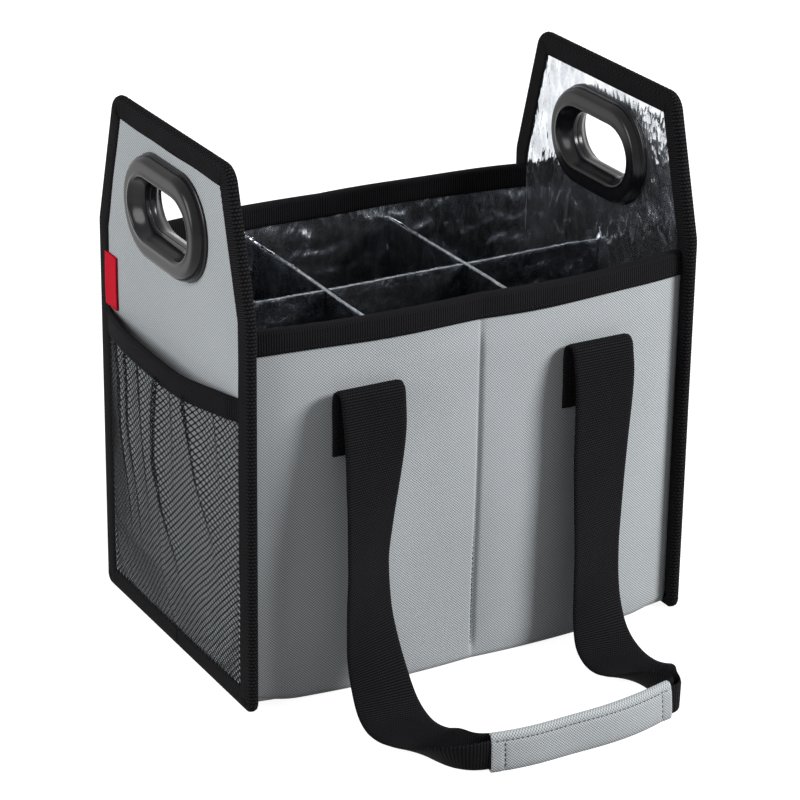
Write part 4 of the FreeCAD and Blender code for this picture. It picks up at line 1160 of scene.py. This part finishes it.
# Stations on the middle line of the webbing, from the sewn left end to the sewn right end: x, distance
# out from the wall, height, heading of the width direction and opening of the lengthwise fold.
strap = dict(
    width=38, thickness=1.6, steps=450, spacing=143, patchBottom=143, turnLevel=176, turnRadius=5,
    left=[
        (0, 13.2, 160, 3, 180), (-0.5, 14, 144, 8, 180), (-2, 14, 112, 20, 180), (-3.5, 14, 81, 28, 180),
        (-3.5, 15.5, 50, 23, 180), (-2.5, 19, 30, 14, 180), (-1.5, 25, 15, 8, 180), (-1.5, 33, 5.5, 4, 180),
        (-2, 43, 1.4, 0, 180), (-2.8, 54, 0.8, -2, 175), (-3, 66, 0.8, 0, 157), (-2.4, 77, 0.9, 6, 128),
        (-0.4, 88, 1.1, 16, 94), (3.2, 98, 1.5, 34, 54), (9.5, 105, 1.9, 62, 15),
    ],
    wrap=[(-54, 108, 86), (-13, 111.3, 90), (16.7, 110.4, 94), (41.8, 106.8, 99), (60, 102.6, 104)],
    right=[
        (-5, 100.4, 1.9, 135, 0), (-3, 96, 1.6, 168, 4), (-2.6, 89, 1.2, 178, 26), (-2.2, 79, 0.9, 180, 68),
        (-2, 68, 0.8, 180, 118), (-1.6, 56, 0.8, 180, 160), (-1, 44, 0.8, 180, 180),
        (-0.4, 32, 1.8, 183, 180), (0, 22, 7, 188, 180), (0, 16, 18, 193, 180), (0, 13, 34, 197, 180),
        (0, 12, 58, 198, 180), (0, 11.8, 90, 193, 180), (0, 12.2, 122, 187, 180), (0, 13.5, 150, 183, 180),
        (0, 12.8, 166, 181, 180),
    ],
)
wallFace = float(np.max(halfDepth(np.linspace(0, bag["innerX"], 200))))


# All stations in order: up the sewn left end, over its turn, down the hang, through the sleeve and back
def strapStations():
    sewn, turn, level = strap["thickness"] / 2, strap["turnRadius"], strap["turnLevel"]
    angle = np.linspace(0, math.pi, 7)
    rows = []
    for sign, hang in ((-1, strap["left"]), (1, strap["right"])):
        side = sign * strap["spacing"] / 2
        start = 0 if sign < 0 else 180
        leg = [(side, sewn, z, start, 180) for z in (strap["patchBottom"], strap["patchBottom"] + 16)]
        for t in angle:
            leg.append((side, sewn + turn * (1 - math.cos(t)), level + turn * math.sin(t), start, 180))
        hanging = [(side + x, out, z, heading, opening) for x, out, z, heading, opening in hang]
        if sign < 0:
            rows += leg + hanging
            rows += [(x, out, bag["cloth"] + sewn, heading, 0) for x, out, heading in strap["wrap"]]
        else:
            rows += hanging + leg[::-1]
    return np.array(rows, float)


# Place, width direction and lift direction at even steps along the strap
def strapFrames(count):
    rows = strapStations()
    nodes = np.stack([rows[:, 0], -(wallFace + rows[:, 1]), rows[:, 2]], -1)
    marks = travelled(nodes)
    at = np.linspace(0, marks[-1], count)
    places = spline(marks, nodes, at)
    places[:, 2] = np.maximum(places[:, 2], strap["thickness"] / 2 + 0.02)
    heading = np.radians(np.interp(at, marks, rows[:, 3]))
    opening = np.interp(at, marks, rows[:, 4])
    window = np.ones(9) / 9
    heading = np.convolve(np.pad(heading, 4, "edge"), window, "valid")
    opening = np.convolve(np.pad(opening, 4, "edge"), window, "valid")
    along = headings(places)
    level = along * (1, 1, 0)
    flat = ramp(100, 40, opening)[:, None]
    along = unit(along * (1 - flat) + unit(level) * flat)
    side = np.stack([np.cos(heading), np.sin(heading), 0 * heading], -1)
    side = unit(side - along * (side * along).sum(1, keepdims=True))
    lift = np.cross(along, side)
    return at, places, side, lift, opening


# Line of the webbing's width at a station: flat at the fold, then each half turned up by the fold's angle
def foldedWidth(opening, q):
    rise = np.radians(180 - opening)[:, None] / 2
    turned = rise * ramp(0.3, 2.6, np.abs(q))[None] * np.sign(q)[None]
    dq = np.gradient(q)[None]
    across = np.cumsum(np.cos(turned) * dq, 1)
    up = np.cumsum(np.sin(turned) * dq, 1)
    middle = len(q) // 2
    across, up = across - across[:, middle:middle + 1], up - up[:, middle:middle + 1]
    return across, up, turned


# Webbing of a strap: the folded line of its width, half its thickness to both sides, carried along the frames
def makeStrap(name, node, mirror):
    at, places, side, lift, opening = strapFrames(strap["steps"])
    half = strap["width"] / 2
    q = np.concatenate([np.linspace(-half, -3, 9)[:-1], np.linspace(-3, 3, 11), np.linspace(3, half, 9)[1:]])
    across, up, turned = foldedWidth(opening, q)
    if not mirror:  # a little smaller where the sleeve holds it
        held = ramp(4, 10, at - at[np.argmax(places[:, 0] > strap["wrap"][0][0])])
        held *= ramp(4, 10, at[np.argmax(places[:, 0] > strap["wrap"][-1][0])] - at)
        across = across * (1 - 0.35 * held[:, None])
        up = up * (1 - 0.07 * held[:, None])
    edge = np.minimum(1, np.sqrt(np.clip((half - np.abs(q)) / 0.8, 0.12, 1)))
    thick = strap["thickness"] / 2 * edge[None]
    offA, offB = -np.sin(turned) * thick, np.cos(turned) * thick
    top = np.stack([across + offA, up + offB], -1)
    under = np.stack([across - offA, up - offB], -1)[:, ::-1]
    section = np.concatenate([top, under], 1)
    points = carried(places, side, lift, section)
    cross = np.concatenate([q, 2 * half - q[::-1] * 1.0, [3 * half]])
    uv = spreadUv(at, cross)
    if mirror:
        points[..., 1] *= -1
    addGrid(name, points, blackWebbing, [node], uv=uv, closeCols=True, capEnds=True,
            closed=True)


# Box of stitches that holds each sewn end, with a cross in it
def makeStrapStitches(wallSign, wallName):
    low, high = strap["patchBottom"] + 3, strap["turnLevel"] - 4
    half = strap["width"] / 2 - 3
    for sign, name in ((-1, "left"), (1, "right")):
        middle = sign * strap["spacing"] / 2
        corners = np.array([(-half, low), (half, low), (half, high), (-half, high), (-half, low),
                            (half, high), (half, low), (-half, high)])
        line = evenly(corners, 200)
        out = wallSign * (wallFace + strap["thickness"] + 0.05)
        path = np.stack([middle + line[:, 0], np.full(len(line), out), line[:, 1]], -1)
        up = everywhere((0, wallSign, 0), path)
        addStitches("strap_stitches_%s_%s" % (wallName, name), path, up, seams["tape"])


sleeve = dict(thick=7.2, tall=20.4, seam=2.8, endSeam=7.0, clothThick=1.0, footShare=1.15, topShare=0.62)


# Padded sleeve round the folded strap: a flattened closed section with a sewn top edge
def makeSleeve():
    _, places, side, _, _ = strapFrames(1600)
    x0, x1 = strap["wrap"][0][0], strap["wrap"][-1][0]
    held = np.where((places[:, 0] > x0) & (places[:, 0] < x1) & (places[:, 1] < -wallFace - 95))[0]
    pick = np.linspace(held[0], held[-1], 120).astype(int)
    line, across = places[pick] * (1, 1, 0), side[pick]
    length = travelled(line)
    total = length[-1]
    turn = np.linspace(0, 2 * math.pi, 60, endpoint=False)
    power = 0.55
    a = np.sign(np.cos(turn)) * np.abs(np.cos(turn)) ** power
    b = np.sign(np.sin(turn)) * np.abs(np.sin(turn)) ** power
    height = sleeve["tall"] / 2 * (b + 1)
    pinch = 1 - 0.13 * np.exp(-((height - sleeve["tall"] + sleeve["seam"]) / 0.9) ** 2)
    wedge = sleeve["footShare"] + (sleeve["topShare"] - sleeve["footShare"]) * height / sleeve["tall"]
    sections = np.repeat(np.stack([sleeve["thick"] / 2 * a * pinch * wedge, height], -1)[None], len(line), 0)
    fromEnd = np.minimum(length, total - length)
    dent = 1 - 0.14 * np.exp(-((fromEnd - sleeve["endSeam"]) / 1.1) ** 2)
    swell = 1 + 0.10 * slowWaves(111, length, 0 * length, 40) * ramp(0, 12, fromEnd)
    sections[..., 0] *= (dent * swell)[:, None]
    sections[..., 1] += 0.25 * slowWaves(113, length, 0 * length, 50)[:, None] * (sections[..., 1] > 10)
    points = carried(line, across, everywhere((0, 0, 1), line), sections)
    points[..., 2] = np.maximum(points[..., 2], sleeve["clothThick"] + 0.02)
    uv = spreadUv(length, travelled(sections[0], True))
    piece = addGrid("grip_sleeve", points, greyCloth, ["grip_wrap"], uv=uv, closeCols=True,
                    flip=True)
    thicken(piece, sleeve["clothThick"])
    facing = -np.sign(across[60, 1])
    outward = across * facing
    face = np.where(a * facing > 0)[0]
    clear = sleeve["clothThick"] + 0.1
    seam = face[np.argmin(np.abs(height[face] - sleeve["tall"] + sleeve["seam"]))]
    seamLine = points[:, seam] + outward * clear
    addStitches("sleeve_stitches_top", seamLine[2:-2], outward[2:-2], seams["sleeve"])
    for fromHere, name in ((length, "left"), (total - length, "right")):
        near = np.argmin(np.abs(fromHere - sleeve["endSeam"]))
        low = face[(height[face] > 2.5) & (height[face] < sleeve["tall"] - sleeve["seam"])]
        path = points[near, low] + outward[near] * clear
        up = everywhere(outward[near], path)
        addStitches("sleeve_stitches_" + name, path, up, seams["sleeve"])


makeStrap("front_webbing", "strap_front", False)
makeStrap("back_webbing", "strap_back", True)
for wallSide, wallName in ((-1, "front"), (1, "back")):
    makeStrapStitches(wallSide, wallName)
makeSleeve()
dressNodes()
print("stage: straps made")


# Floor, lights and camera

view = dict(azimuth=-29.45, elevation=23.04, roll=0.83, distance=1772.0, target=(3.79, 0.0, 121.48),
            focalPixels=3138.33, widthPixels=800, sensor=36)
studio = dict(world=0.16, floorTone=0.3, floorGlow=0.93)
lamps = dict(
    key=dict(place=(1180, -1080, 1000), size=650, power=46.0),
    back=dict(place=(500, 1750, 500), size=900, power=25.0, mirrored=False),
    fill=dict(place=(-1500, -100, 800), size=1100, power=22.0),
)


# Stands an object at a place in metres by its right, up and back directions
def stand(thing, right, up, back, place):
    columns = np.column_stack([right, up, back, place])
    thing.matrix_world = Matrix(np.vstack([columns, [0, 0, 0, 1]]).tolist())


# Camera fitted to the photo: back from the target by azimuth, elevation and distance, and turned by the roll
def makeCamera():
    azimuth, elevation, roll = (math.radians(view[k]) for k in ("azimuth", "elevation", "roll"))
    back = np.array([math.sin(azimuth) * math.cos(elevation), -math.cos(azimuth) * math.cos(elevation),
                     math.sin(elevation)])
    right = np.array([math.cos(azimuth), math.sin(azimuth), 0])
    up = np.cross(back, right)
    rolledRight = math.cos(roll) * right + math.sin(roll) * up
    rolledUp = math.cos(roll) * up - math.sin(roll) * right
    place = (np.array(view["target"]) + back * view["distance"]) * mm
    data = bpy.data.cameras.new("photoView")
    data.lens = view["focalPixels"] / view["widthPixels"] * view["sensor"]
    data.sensor_width = view["sensor"]
    camera = link("photoView", data)
    stand(camera, rolledRight, rolledUp, back, place)
    bpy.context.scene.camera = camera


# Round lamp that faces the middle of the bag; mirrored=False keeps it out of reflections
def makeLamp(name, values):
    data = bpy.data.lights.new(name, "AREA")
    data.shape = "DISK"
    data.size = values["size"] * mm
    data.energy = values["power"]
    lamp = link(name, data)
    place = np.array(values["place"]) * mm
    back = unit(place - np.array([0, 0, 0.12]))
    right = unit(np.cross((0, 0, 1), back))
    stand(lamp, right, np.cross(back, right), back, place)
    lamp.visible_glossy = values.get("mirrored", True)


# One where a camera, glossy or transmission ray looks, nothing for the light that falls on the object
def lookingRay(tree):
    path = tree.nodes.new("ShaderNodeLightPath").outputs
    both = calc(tree, "MAXIMUM", path["Is Camera Ray"], path["Is Transmission Ray"])
    return both, path["Is Glossy Ray"]


# World and pale floor: a looking ray finds them white, and the world lights the object at its low strength
def makeStudio():
    world = bpy.data.worlds.new("studio")
    bpy.context.scene.world = world
    world.use_nodes = True
    tree = world.node_tree
    light = tree.nodes["Background"]
    seen, glossy = lookingRay(tree)
    light.inputs["Color"].default_value = (1, 1, 1, 1)
    shine = calc(tree, "MAXIMUM", seen, calc(tree, "MULTIPLY", glossy, 0.9))
    strength = calc(tree, "MULTIPLY_ADD", shine, 1 - studio["world"], studio["world"])
    tree.links.new(strength, light.inputs["Strength"])
    material, tree, shader = newMaterial("paleFloor", Roughness=0.9, Specular_IOR_Level=0.1)
    shader.inputs["Base Color"].default_value = (studio["floorTone"],) * 3 + (1,)
    seen, glossy = lookingRay(tree)
    shader.inputs["Emission Color"].default_value = (1, 1, 1, 1)
    tree.links.new(calc(tree, "MULTIPLY", calc(tree, "MAXIMUM", seen, glossy), studio["floorGlow"]),
                   shader.inputs["Emission Strength"])
    reach = 6.0
    corners = [(-reach, -reach, 0), (reach, -reach, 0), (reach, reach, 0), (-reach, reach, 0)]
    mesh = bpy.data.meshes.new("floor")
    mesh.from_pydata(corners, [], [(0, 1, 2, 3)])
    mesh.materials.append(material)
    floor = link("floor", mesh)


makeCamera()
for lampName, lampValues in lamps.items():
    makeLamp(lampName, lampValues)
makeStudio()
bpy.context.scene.view_settings.view_transform = "Standard"
print("stage: floor, lights and camera made")
